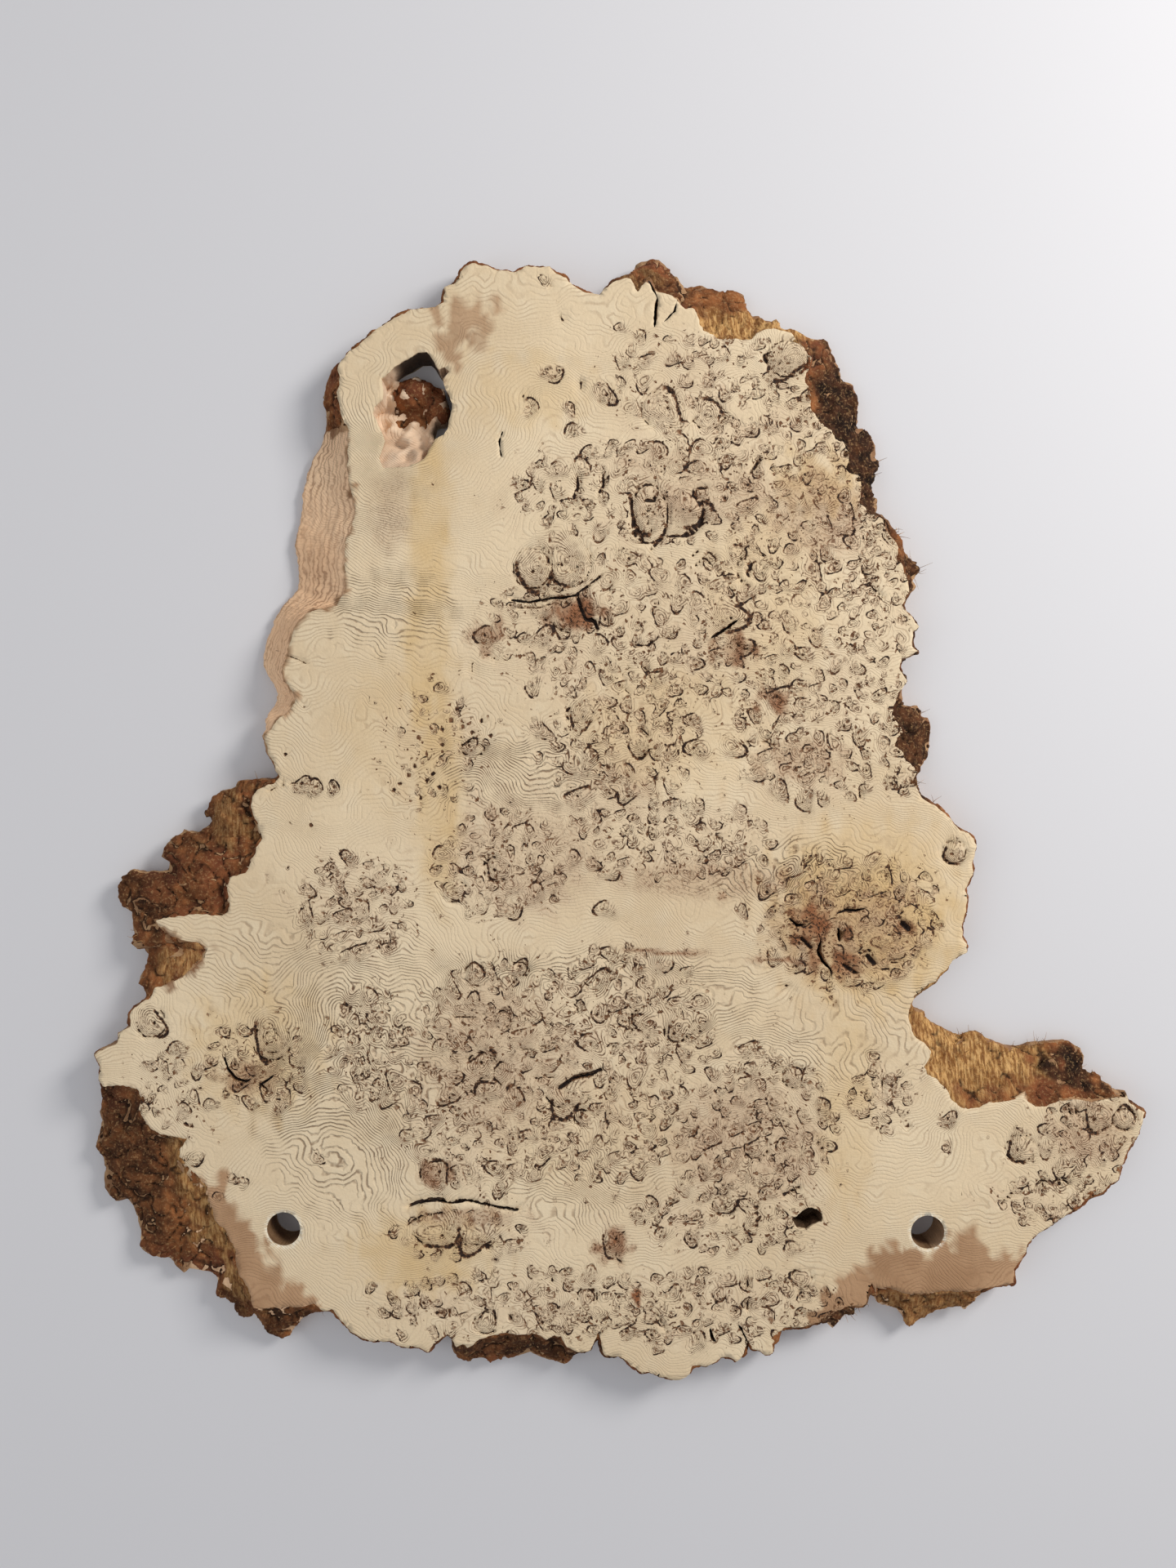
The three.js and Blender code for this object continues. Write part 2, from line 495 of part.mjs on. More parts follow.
function rimRow(rim, row) {
  return rim.map((item, i) => {
    const share = ROW_SHARE[row];
    const inner = row > 0 && row < ROW_SHARE.length - 1;
    const lift = row > 0 ? rough(i, row) * ROUGHNESS[item.kind] : 0;
    const drop = (THICKNESS - ROW_HEIGHT[item.kind][row]) * dropShare(item);
    const rise = inner ? lift : lift * OUTLINE_CALM;
    const height = row > 0 ? Math.min(THICKNESS - drop + rise, THICKNESS - SAW_CLEARANCE) : THICKNESS;
    const reading = between(item.face, item.edge, share);
    const amount = item.kind === 'cut' ? CUT_BULGE : 1;
    const [x, y] = behindReading(reading, height, amount);
    return [x, y, height];
  });
}

// Joins closed rows of points from the top one down, with a flat cap on the first and the last.
function lofted(given) {
  const clockwise = THREE.ShapeUtils.area(given[0].map(([x, y]) => new THREE.Vector2(x, y))) < 0;
  const rows = clockwise ? given.map((row) => row.slice().reverse()) : given;
  const count = rows[0].length;
  const positions = rows.flat(2);
  const index = [];
  for (let r = 0; r + 1 < rows.length; r += 1) {
    for (let i = 0; i < count; i += 1) {
      const a = r * count + i;
      const b = r * count + ((i + 1) % count);
      index.push(a, b + count, b, a, a + count, b + count);
    }
  }
  const cap = (row, first, turned) => {
    const contour = row.map((p) => new THREE.Vector2(p[0], p[1]));
    const triangles = THREE.ShapeUtils.triangulateShape(contour, []);
    const areas = triangles.map((corners) => THREE.ShapeUtils.area(corners.map((k) => contour[k])));
    const flip = areas.reduce((sum, area) => sum + area, 0) > 0 === turned;
    for (const [a, b, c] of triangles) {
      index.push(first + a, first + (flip ? c : b), first + (flip ? b : c));
    }
  };
  cap(rows[0], 0, false);
  cap(rows[rows.length - 1], (rows.length - 1) * count, true);
  return solid(positions, index);
}

function solid(positions, index) {
  const mesh = new wasm.Mesh({
    numProp: 3,
    vertProperties: new Float32Array(positions),
    triVerts: new Uint32Array(index),
  });
  return new wasm.Manifold(mesh);
}

function solidOf(geometry) {
  geometry.deleteAttribute('normal');
  geometry.deleteAttribute('uv');
  const merged = mergeVertices(geometry, 1e-4);
  return solid([...merged.attributes.position.array], [...merged.index.array]);
}

function withHeight(points, height) {
  return points.map(([x, y]) => [x, y, height]);
}

function body() {
  const rim = rimPoints();
  const rows = ROW_SHARE.map((_, row) => rimRow(rim, row));
  const outline = rows[rows.length - 1].map(([x, y]) => [x, y]);
  const soft = smoothed(outline, BACK_SMOOTHING);
  rows.push(withHeight(outline.map((p, i) => between(p, soft[i], 0.5)), UNDER_HEIGHT));
  rows.push(withHeight(inset(soft, BACK_INSET), 0));
  return lofted(rows);
}

function drilledHole([x, y]) {
  const radius = DRILL_DIAMETER / 2;
  const bit = new THREE.CylinderGeometry(radius, radius, THICKNESS * 2, DRILL_SIDES);
  bit.rotateX(Math.PI / 2);
  bit.translate(x, y, THICKNESS / 2);
  return solidOf(bit);
}

function prism(points, low, high) {
  return lofted([withHeight(points, high), withHeight(points, low)]);
}

function floorHeight(x, y) {
  let height = Math.max(THICKNESS - (y - SCOOP_TOP_Y) * SCOOP_FALL, SCOOP_DEEPEST);
  for (const lump of BARK_LUMPS) {
    const across = (x - lump.centre[0]) / lump.radii[0];
    const along = (y - lump.centre[1]) / lump.radii[1];
    const rise = 1 - across * across - along * along;
    if (rise > 0) {
      height = Math.max(height, lump.top * Math.sqrt(rise));
    }
  }
  return Math.min(height + rough(Math.round(x), Math.round(y)) * FLOOR_ROUGHNESS, THICKNESS - SAW_CLEARANCE);
}

// A block under the hollow whose top is the scoop and the lumps of bark.
function hollowBlock() {
  const box = new THREE.Box2().setFromPoints(HOLLOW_FLOOR.map(([x, y]) => new THREE.Vector2(x, y)));
  const size = box.getSize(new THREE.Vector2());
  const middle = box.getCenter(new THREE.Vector2());
  const across = Math.ceil(size.x / FLOOR_GRID);
  const along = Math.ceil(size.y / FLOOR_GRID);
  const block = new THREE.BoxGeometry(size.x + 2, size.y + 2, THICKNESS, across, along, 1);
  const place = block.attributes.position;
  for (let i = 0; i < place.count; i += 1) {
    const x = place.getX(i) + middle.x;
    const y = place.getY(i) + middle.y;
    place.setXYZ(i, x, y, place.getZ(i) > 0 ? floorHeight(x, y) : 0);
  }
  return solidOf(block).intersect(prism(HOLLOW_FLOOR, -1, THICKNESS + 1));
}

function knotHole() {
  const middle = KNOT_HOLE.reduce((sum, p) => [sum[0] + p[0], sum[1] + p[1]], [0, 0]);
  const centre = [middle[0] / KNOT_HOLE.length, middle[1] / KNOT_HOLE.length];
  const low = KNOT_HOLE.map((point) => between(centre, point, KNOT_HOLE_TAPER));
  return lofted([withHeight(KNOT_HOLE, THICKNESS + 1), withHeight(low, THICKNESS - KNOT_HOLE_DEPTH)]);
}

// A wedge with its mouth above the face, tapered to nothing at both ends.
function crack({ line, width, depth }) {
  const marks = shares(line);
  const positions = [];
  const index = [];
  const top = THICKNESS + CRACK_CLEARANCE;
  line.forEach((point, i) => {
    const before = line[Math.max(i - 1, 0)];
    const after = line[Math.min(i + 1, line.length - 1)];
    const run = distance(before, after);
    const size = 0.25 + 0.75 * Math.sin(Math.PI * THREE.MathUtils.clamp(marks[i], 0.02, 0.98));
    const half = (width / 2) * size * (1 + CRACK_CLEARANCE / depth);
    const side = [(-(after[1] - before[1]) / run) * half, ((after[0] - before[0]) / run) * half];
    positions.push(point[0] + side[0], point[1] + side[1], top);
    positions.push(point[0] - side[0], point[1] - side[1], top);
    positions.push(point[0], point[1], THICKNESS - depth * size);
  });
  for (let i = 0; i + 1 < line.length; i += 1) {
    const a = 3 * i;
    index.push(a, a + 1, a + 4, a, a + 4, a + 3);
    index.push(a + 1, a + 2, a + 5, a + 1, a + 5, a + 4);
    index.push(a + 2, a, a + 3, a + 2, a + 3, a + 5);
  }
  const end = 3 * (line.length - 1);
  index.push(0, 2, 1, end, end + 1, end + 2);
  return solid(positions, index);
}

function slab() {
  let whole = body().subtract(prism(HOLLOW_RIM, -1, THICKNESS + 1)).add(hollowBlock());
  whole = whole.subtract(knotHole());
  for (const place of DRILLED_HOLES) {
    whole = whole.subtract(drilledHole(place));
  }
  for (const one of CRACKS) {
    whole = whole.subtract(crack(one));
  }
  return whole;
}

function geometryOf(manifold) {
  const { vertProperties, triVerts } = manifold.getMesh();
  const geometry = new THREE.BufferGeometry();
  geometry.setAttribute('position', new THREE.BufferAttribute(vertProperties, 3));
  geometry.setIndex(new THREE.BufferAttribute(triVerts, 1));
  geometry.computeBoundingBox();
  const middle = geometry.boundingBox.getCenter(new THREE.Vector3());
  geometry.translate(-middle.x, -middle.y, 0);
  geometry.computeVertexNormals();
  return geometry;
}

const oak = new THREE.MeshStandardMaterial({ color: 0xd6bf97, roughness: 0.78, metalness: 0 });
const burl = new THREE.Mesh(geometryOf(slab()), oak);
burl.name = 'burl_slab';

const group = new THREE.Group();
group.add(burl);
export default group;
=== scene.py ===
import json
import math
import random

import bmesh
import bpy
import numpy as np
from mathutils import Matrix, Vector, noise


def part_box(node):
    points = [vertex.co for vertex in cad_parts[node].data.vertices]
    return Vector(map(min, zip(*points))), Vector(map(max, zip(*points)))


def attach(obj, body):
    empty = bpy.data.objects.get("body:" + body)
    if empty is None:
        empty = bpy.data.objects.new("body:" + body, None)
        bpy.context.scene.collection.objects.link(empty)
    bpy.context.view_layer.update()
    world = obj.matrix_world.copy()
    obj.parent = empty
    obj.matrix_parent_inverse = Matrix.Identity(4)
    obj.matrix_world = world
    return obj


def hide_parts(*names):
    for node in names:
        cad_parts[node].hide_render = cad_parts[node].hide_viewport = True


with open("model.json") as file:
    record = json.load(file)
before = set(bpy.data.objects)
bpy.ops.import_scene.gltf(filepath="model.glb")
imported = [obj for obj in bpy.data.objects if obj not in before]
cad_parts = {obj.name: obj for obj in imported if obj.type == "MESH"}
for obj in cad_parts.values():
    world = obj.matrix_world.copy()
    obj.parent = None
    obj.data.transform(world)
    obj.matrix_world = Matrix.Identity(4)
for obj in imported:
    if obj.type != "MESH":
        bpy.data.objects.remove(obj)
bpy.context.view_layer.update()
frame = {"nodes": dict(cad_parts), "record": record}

# The camera looks straight down on the sawn face, as the photograph does, from about
# three quarters of a metre. It is placed from the right drilled hole, whose pixel is known.
MM = 0.001
PHOTO_CENTRE_PX = (720, 960)
PHOTO_HEIGHT_PX = 1920
FOCAL_LENGTH_PX = 1387
RIGHT_HOLE_PX = (1136, 1509)
METRES_PER_PX = 22.2 * MM / 41.1
openings = {o["name"]: o["box_m"] for o in frame["record"]["physics"]["openings"]}


def hole_centre(name):
    low, high = openings[name]
    return Vector(((low[0] + high[0]) / 2, (low[1] + high[1]) / 2, 0))


right_hole = hole_centre("right_drilled_hole")
left_hole = hole_centre("left_drilled_hole")
slab_low, slab_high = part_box("burl_slab")
TOP = slab_high.z
eye = Vector((
    right_hole.x + (PHOTO_CENTRE_PX[0] - RIGHT_HOLE_PX[0]) * METRES_PER_PX,
    right_hole.y + (RIGHT_HOLE_PX[1] - PHOTO_CENTRE_PX[1]) * METRES_PER_PX,
    TOP + FOCAL_LENGTH_PX * METRES_PER_PX,
))
camera_data = bpy.data.cameras.new("camera")
camera_data.sensor_width = 36
camera_data.lens = FOCAL_LENGTH_PX / PHOTO_HEIGHT_PX * 36
camera = bpy.data.objects.new("camera", camera_data)
camera.location = eye
bpy.context.scene.collection.objects.link(camera)
bpy.context.scene.camera = camera

# A plain pale floor under soft studio light: a large lamp to the upper right, which throws
# the slab's shadow to the left, a weaker one opposite, and a pale sky.
def lamp(name, place, size, watts, colour):
    data = bpy.data.lights.new(name, "AREA")
    data.size = size
    data.energy = watts
    data.color = colour
    light = bpy.data.objects.new(name, data)
    light.location = place
    light.rotation_euler = (Vector((0, 0, 0)) - Vector(place)).to_track_quat("-Z", "Y").to_euler()
    bpy.context.scene.collection.objects.link(light)


def add(tree, kind, inputs=None, **settings):
    node = tree.nodes.new(kind)
    for key, value in settings.items():
        setattr(node, key, value)
    for key, value in (inputs or {}).items():
        if isinstance(value, bpy.types.NodeSocket):
            tree.links.new(value, node.inputs[key])
        else:
            node.inputs[key].default_value = value
    return node


def new_material(name):
    material = bpy.data.materials.new(name)
    material.use_nodes = True
    return material, material.node_tree, material.node_tree.nodes["Principled BSDF"]


def mesh_object(name, bm):
    mesh = bpy.data.meshes.new(name)
    bm.to_mesh(mesh)
    bm.free()
    piece = bpy.data.objects.new(name, mesh)
    bpy.context.scene.collection.objects.link(piece)
    return piece


lamp("key_light", (1.35, 0.9, 1.05), 0.6, 29, (1, 0.985, 0.96))
lamp("fill_light", (-1.3, -0.2, 1.5), 1.4, 5, (0.96, 0.98, 1))
world = bpy.data.worlds.new("pale_sky")
world.use_nodes = True
world.node_tree.nodes["Background"].inputs["Color"].default_value = (0.93, 0.95, 1, 1)
world.node_tree.nodes["Background"].inputs["Strength"].default_value = 0.47
bpy.context.scene.world = world
bpy.context.scene.view_settings.view_transform = "Standard"

floor_mesh = bmesh.new()
bmesh.ops.create_grid(floor_mesh, x_segments=1, y_segments=1, size=3)
bmesh.ops.translate(floor_mesh, vec=(0, 0, -0.0003), verts=floor_mesh.verts)
floor = mesh_object("floor", floor_mesh)
floor_paint, _, floor_shader = new_material("pale_floor")
floor_shader.inputs["Base Color"].default_value = (0.68, 0.67, 0.68, 1)
floor_shader.inputs["Roughness"].default_value = 0.9
floor.data.materials.append(floor_paint)

# Places are millimetres on the face. An eye has its middle, its radius and, where it is
# plain to see, the side that is dark.
EYES = [
    (-56, 168, 15, -120), (-35, 171, 16, 200), (19, 204, 15, 200), (43, 206, 15, -20), (111, 306, 14, -90),
    (-45, 295, 7, -45), (-11, 282, 8, 0), (-59, 273, 6), (-34, 272, 5), (-31, 258, 6), (-50, 357, 4),
    (0, 326, 4), (13, 320, 5), (43, 290, 5), (58, 290, 5), (47, 277, 5), (50, 308, 3), (28, 272, 14),
    (101, 306, 6), (58, 269, 10), (59, 294, 4), (69, 282, 5), (70, 266, 5), (86, 258, 6, -60), (95, 263, 5),
    (101, 259, 4), (51, 233, 6), (91, 231, 5), (109, 232, 4), (124, 227, 4), (83, 222, 5, 0), (54, 216, 5),
    (68, 213, 3), (84, 207, 7), (101, 208, 4), (53, 202, 5, 0), (135, 197, 5, 10), (84, 185, 4),
    (61, 188, 4),
    (93, 165, 6), (127, 165, 7, 20), (136, 176, 5), (154, 169, 4), (150, 155, 4), (166, 152, 4),
    (-88, 122, 8, 150), (70, 135, 13), (80, 115, 8, -30), (-58, 88, 6), (-25, 71, 10), (-54, 60, 7),
    (-100, 48, 6, 90), (5, 18, 7, -90), (-28, 14, 9), (12, 50, 8), (104, 80, 9, 100), (148, 63, 5, -60),
    (156, 74, 4), (147, 90, 4), (155, 122, 3), (174, 104, 4), (149, 44, 4), (178, 25, 5, 0), (146, 23, 4),
    (-211, 23, 6, 90), (-202, 21, 6, 60), (-190, 21, 5, 60), (-110, -47, 7), (-81, -32, 9, 200),
    (-72, -60, 7),
    (-10, -59, 7), (-67, -99, 5), (-96, -102, 7), (221, -21, 8, 220), (147, -73, 6, 0), (187, -70, 6, 180),
    (161, -68, 4), (165, -94, 5), (195, -87, 4), (202, -37, 4), (188, -37, 4), (185, -47, 5), (163, -36, 4),
    (97, -46, 6, -90), (80, -60, 5), (167, -47, 4), (146, -47, 4), (-311, -134, 10, 0), (-293, -151, 6),
    (-231, -147, 13, 200), (-212, -175, 5), (-222, -182, 5), (-226, -190, 5), (-283, -183, 5),
    (-289, -193, 6),
    (-271, -188, 5), (-282, -224, 6), (-315, -191, 4), (-266, -249, 4), (-257, -237, 4, 0), (-249, -240, 4),
    (-200, -224, 4), (-251, -173, 6, -90), (37, -140, 7, 210), (17, -135, 8), (-25, -197, 6, 170),
    (115, -170, 7), (90, -217, 7), (109, -215, 6, 135), (123, -221, 6), (136, -215, 6), (84, -226, 4),
    (105, -231, 4), (69, -255, 7, -60), (106, -260, 4), (94, -283, 4), (114, -283, 6), (77, -204, 5),
    (96, -206, 4), (-122, -234, 10, 30), (-82, -231, 7, 170), (-5, -282, 8, 200), (-89, -333, 8),
    (-22, -316, 6, 45), (-157, -326, 4), (-138, -311, 5), (-165, -309, 4), (-144, -341, 4), (-124, -338, 4),
    (-77, -316, 4), (-34, -334, 5), (-54, -324, 4), (-94, -318, 4), (24, -303, 4), (35, -314, 6),
    (52, -307, 5),
    (6, -331, 4), (22, -341, 5), (25, -350, 4), (65, -313, 5), (68, -336, 5), (120, -304, 7), (95, -300, 5),
    (99, -317, 6), (121, -316, 4), (75, -343, 4), (265, -217, 10, 215), (316, -197, 10, 200),
    (334, -198, 8),
    (305, -229, 4), (309, -238, 4), (280, -243, 5, 100), (291, -242, 5, 100), (266, -240, 4),
    (300, -252, 5),
    (262, -256, 4), (277, -257, 4), (217, -199, 6, 90), (216, -216, 4), (167, -156, 4), (178, -171, 5),
    (153, -182, 4), (157, -172, 4), (190, -185, 4), (176, -205, 4), (325, -222, 4), (-120, -272, 14, -60),
    (-95, -275, 12, -90), (-18, -148, 9), (-35, -183, 13, -100), (-88, -180, 9, 120), (-92, -163, 10, 90),
    (-110, -170, 6), (-58, -130, 6), (-80, -165, 8), (-15, -108, 9, 90), (-67, -98, 6, 90), (-112, -112, 6),
]
# Arcs of rings: middle, two radii, first and last angle in degrees, half the width.
OVALS = [
    (-58.5, 167, 12.5, 13.5, 0, 360, 0.25), (-58.5, 167, 12.5, 13.5, 190, 390, 0.6),
    (-34, 171, 15, 16.5, 150, 420, 0.3), (-34, 171, 7, 6, 280, 420, 0.3), (19, 203, 12, 20, 60, 300, 0.6),
    (19, 203, 12.5, 19, 290, 400, 0.5), (42, 206, 14, 18, 250, 380, 0.8), (111, 306, 14, 12, 180, 370, 0.6),
    (111, 306, 14, 12, 10, 180, 0.25), (101, 306, 6, 5, 0, 360, 0.3), (54.8, 170, 9, 9, 10, 150, 0.5),
    (89, 166, 12, 11, 60, 250, 0.5), (89, 166, 6, 5, 0, 300, 0.25), (10.7, 92.7, 10, 10, 0, 360, 0.25),
    (-25, 70.7, 11, 6.5, 140, 215, 0.8), (-25, 70.7, 11, 6.5, 215, 380, 0.3),
    (7.3, 51.3, 13, 11, 30, 160, 0.5),
    (7.3, 51.3, 13, 11, 290, 350, 0.6), (90.7, 44.4, 12, 9, 40, 150, 0.5),
    (-89.6, 101, 9, 9, 20, 200, 0.25),
    (-98, 47.5, 8, 5, 100, 400, 0.6), (221, -21, 8, 8, 170, 300, 0.8), (221, -21, 8, 8, -60, 170, 0.25),
    (-231, -147, 13, 12, 90, 400, 0.45), (-231, -147, 7, 7, 0, 300, 0.3),
    (-311, -134, 10, 10, 200, 420, 0.5),
    (-122, -234, 11, 8, 0, 200, 0.5), (-96, -102, 8, 7, 30, 330, 0.4), (-67.5, -99, 7, 5, 0, 360, 0.5),
    (-15, -105, 10, 6, 160, 400, 0.3), (37, -140, 8, 7, 150, 330, 0.6), (17, -134, 11, 10, 100, 220, 0.5),
    (-25, -197, 6, 5, 60, 300, 0.6), (-35, -182, 14, 9, 190, 350, 0.5), (-88, -180, 10, 10, 30, 200, 0.5),
    (-92, -163, 10, 9, 30, 170, 0.5), (-78, -132, 5, 6, 0, 360, 0.4), (265, -217, 10, 9, 150, 300, 0.7),
    (265, -217, 10, 9, -60, 150, 0.25), (316, -197, 10, 9, 180, 330, 0.5), (334, -198, 8, 7, 0, 300, 0.4),
    (280, -243, 6, 4, 20, 160, 0.5), (291, -242, 6, 4, 20, 160, 0.5), (69, -255, 8, 7, 60, 350, 0.4),
    (115, -170, 8, 7, 20, 320, 0.4), (90, -217, 8, 7, 80, 400, 0.4), (-120, -272, 17, 11, 190, 340, 0.5),
    (-92, -274, 13, 8, 200, 350, 0.4), (58, 269, 11, 10, 200, 420, 0.4), (28, 272, 14, 13, 20, 330, 0.2),
    (-110, -47, 9, 7, 20, 330, 0.4), (-81, -32, 10, 8, 100, 300, 0.6), (-22, -316, 7, 6, -20, 200, 0.5),
    (-89, -333, 8, 7, 40, 320, 0.35), (120, -304, 7, 7, 0, 330, 0.35), (4, -283, 8, 11, 90, 260, 0.5),
]
PIPS = [
    (-238, 11.5), (-229, 11.5), (-208, 8), (-218, -1.5), (-205, -3), (-209, 76), (-222, 44), (-165, 83),
    (-8, 36),
    (-165, 79), (-281, -93), (69, 213), (-107, 322), (90, -256), (90, -260), (91, -264), (90, -268),
    (143, -234),
    (-121, -326), (-113, -325), (-288, -201), (-284, -202), (190, -202), (-150, 20), (-146, 24), (-140, 30),
    (-136, 36), (-128, 26), (-124, 31), (-120, 22), (-132, 15), (-152, 8), (-142, 2), (-130, -2),
    (-118, 60),
    (-112, 66), (-104, 62), (-98, 58), (-92, 66), (-108, 74), (-118, 50), (-86, 56), (-125, 222),
    (-120, 190),
]
# Crowded places: middle, two radii, how many small eyes, smallest and largest radius.
EYE_CLUSTERS = [
    (30, 218, 100, 34, 90, 2.5, 6), (60, 245, 60, 25, 30, 2.5, 6), (125, 195, 55, 55, 90, 2.5, 6),
    (20, 125, 110, 50, 120, 2.5, 6.5), (130, 60, 58, 48, 100, 2.5, 6), (30, -14, 75, 26, 60, 2.5, 6),
    (-175, -58, 36, 34, 50, 2.5, 6), (-80, -30, 46, 36, 70, 2.5, 6.5), (150, -66, 58, 46, 90, 2.5, 6.5),
    (-70, -130, 62, 36, 100, 2.5, 6), (0, -130, 60, 46, 70, 2.5, 6), (-90, -195, 56, 50, 90, 2.5, 6.5),
    (-10, -200, 46, 40, 50, 2.5, 6), (85, -200, 58, 52, 100, 2.5, 7), (70, -262, 60, 24, 40, 2.5, 6),
    (-165, -150, 28, 38, 44, 2.5, 6.5), (-240, -160, 34, 28, 46, 2.5, 5.5),
    (-300, -178, 26, 24, 16, 2, 4.5),
    (-60, -320, 92, 22, 60, 2.5, 5.5), (60, -322, 88, 24, 80, 2.5, 5.5), (310, -212, 32, 36, 36, 2.5, 5.5),
    (172, -182, 24, 18, 16, 2, 4.5), (-108, -275, 46, 16, 24, 2.5, 5), (-120, 50, 34, 40, 18, 2, 3.5),
    (0, 50, 56, 36, 50, 2.5, 6), (275, -250, 24, 16, 14, 2, 4), (40, 290, 55, 30, 22, 2.5, 5.5),
    (172, 150, 20, 52, 34, 2, 4.5), (158, 218, 20, 32, 22, 2, 4.5), (142, 252, 18, 24, 12, 2, 4),
    (186, 55, 13, 40, 18, 2, 4), (118, 268, 26, 18, 12, 2.5, 4.5), (80, 300, 50, 22, 14, 2, 4),
    (155, 110, 22, 40, 24, 2, 4.5), (190, -60, 22, 30, 18, 2, 4.5),
]
# Checks: the points of a line, half its width.
CHECKS = [
    ([(-46, 354), (-48, 351), (-51, 347)], 0.5), ([(-42, 345), (-41, 337)], 0.6),
    ([(-35, 340), (-38, 334), (-41, 328)], 0.6), ([(-33, 328), (-33, 322)], 0.4),
    ([(-26, 291), (-27, 284)], 0.7), ([(-14, 284), (-14, 277)], 0.6), ([(-66, 295), (-67, 287)], 0.6),
    ([(-64, 283), (-66, 278)], 0.5), ([(-71, 279), (-72, 272)], 0.6),
    ([(87, 231), (93, 240)], 0.9),
    ([(-72, 146), (-60, 144.5), (-48, 147), (-30, 149), (-20, 156), (-13, 162)], 0.55),
    ([(-68, 141), (-54, 141), (-40, 145)], 0.3),
    ([(-28, 147), (-25, 138), (-23, 133), (-17, 132), (-15, 127)], 1.1),
    ([(-7, 157), (-8, 145), (-8, 130)], 0.4),
    ([(14, 189), (10, 198), (7, 205), (8, 212), (13, 221)], 0.7),
    ([(8, 190), (16, 184), (25, 183), (30, 191), (31, 199)], 0.7),
    ([(32, 188), (42, 189), (52, 197), (55, 205), (50, 214)], 0.8), ([(24, 183), (21, 180)], 0.6),
    ([(17, 212), (22, 212), (24, 215)], 1.2), ([(13, 204), (19, 205), (24, 203)], 0.6),
    ([(18, 199), (21, 191)], 0.5),
    ([(-31, 213), (-28, 221), (-29, 228)], 1.0), ([(-14, 217), (-11, 222), (-12, 230)], 0.9),
    ([(-54, 136), (-40, 127), (-34, 124)], 0.4), ([(9, 117), (17, 115), (22, 119)], 0.8),
    ([(76, 122), (78, 116), (84, 114)], 0.6),
    ([(49, 168), (56, 175), (62, 167), (66, 164)], 0.5), ([(47, 213), (49, 219), (58, 221)], 0.8),
    ([(86, 166), (88, 172), (84, 162)], 0.9), ([(160, 167), (163, 160)], 0.5),
    ([(165, 157), (174, 147)], 0.4),
    ([(-140, -255), (-128, -251), (-112, -250.5), (-98, -252), (-82, -256), (-68, -258)], 0.8),
    ([(-141, -268), (-132, -262), (-118, -260)], 0.5), ([(-112, -285), (-100, -280), (-86, -284)], 0.5),
    ([(-40, -177), (-30, -170), (-20, -168), (-13, -165)], 1.2),
    ([(-57, -171), (-50, -169), (-44, -171)], 0.5),
    ([(-110, -130), (-99, -130), (-90, -129)], 0.7), ([(-84, -166), (-80, -160), (-74, -159)], 0.7),
    ([(-70, -153), (-52, -150), (-40, -146)], 0.3), ([(-30, -122), (-27, -128)], 0.5),
    ([(4, -95), (0, -99)], 0.6),
    ([(164, -90), (168, -95)], 1.6), ([(187, -68), (191, -72)], 1.8), ([(110, -110), (114, -112)], 1.2),
    ([(120, -78), (126, -84)], 1.2), ([(148, -96), (156, -101)], 1.2), ([(170, -100), (178, -98)], 0.8),
    ([(158, -88), (166, -86)], 0.9), ([(180, -94), (186, -93)], 0.8),
    ([(173, -190), (173, -180), (174, -172)], 0.5), ([(136, -213), (137, -220)], 0.5),
    ([(131, -213), (134, -219)], 0.4),
    ([(108, -248), (113, -246), (118, -243)], 0.9), ([(252, -255), (259, -247), (269, -246)], 0.5),
    ([(297, -188), (298, -194)], 0.6), ([(301, -189), (302, -194)], 0.5),
    ([(24, -326), (28, -333), (31, -339)], 0.5),
    ([(84, -305), (85, -310)], 0.6), ([(85, -319), (84, -324)], 0.6), ([(-73, -327), (-72, -331)], 0.5),
    ([(177, 35), (177, 29)], 0.6), ([(158, 22), (159, 15)], 0.6),
    ([(-233, 115), (-215, 107), (-199, 100)], 0.15),
    ([(-232, 20), (-222, 24), (-210, 26)], 0.4), ([(-150, 148), (-142, 140), (-134, 136)], 0.4),
    ([(-143, 150), (-136, 146)], 0.3),
    ([(-160, 158), (-150, 154)], 0.3), ([(-46, -303), (-44, -306)], 0.8),
    ([(-238, -175), (-234, -179)], 0.7),
]
SHIFT = Vector((0.57, -1.26))
rng = random.Random(7)


for cx, cy, rx, ry, start, end, half in OVALS:
    steps = max(3, round((end - start) / 24))
    turns = [math.radians(start + (end - start) * i / steps) for i in range(steps + 1)]
    CHECKS.append(([(cx + rx * math.cos(t), cy + ry * math.sin(t)) for t in turns], half))


def scattered_eyes():
    eyes = []
    for place in EYES:
        x, y, r = place[:3]
        if len(place) == 4:
            eyes.append((x, y, r, 1, math.radians(place[3])))
        else:
            eyes.append((x, y, r, rng.uniform(0.6, 0.9), rng.uniform(0, 6.28)))
    for cx, cy, rx, ry, count, low, high in EYE_CLUSTERS:
        made = 0
        for _ in range(count * 8):
            angle = rng.uniform(0, 2 * math.pi)
            reach = math.sqrt(rng.random())
            x = cx + rx * reach * math.cos(angle)
            y = cy + ry * reach * math.sin(angle)
            r = rng.triangular(low, high * 1.35, low + 1)
            if all(math.hypot(x - e[0], y - e[1]) > 0.93 * (r + e[2]) for e in eyes):
                eyes.append((x, y, r, rng.uniform(0.25, 1), rng.uniform(0, 6.28)))
                made += 1
            if made == count:
                break
    return eyes


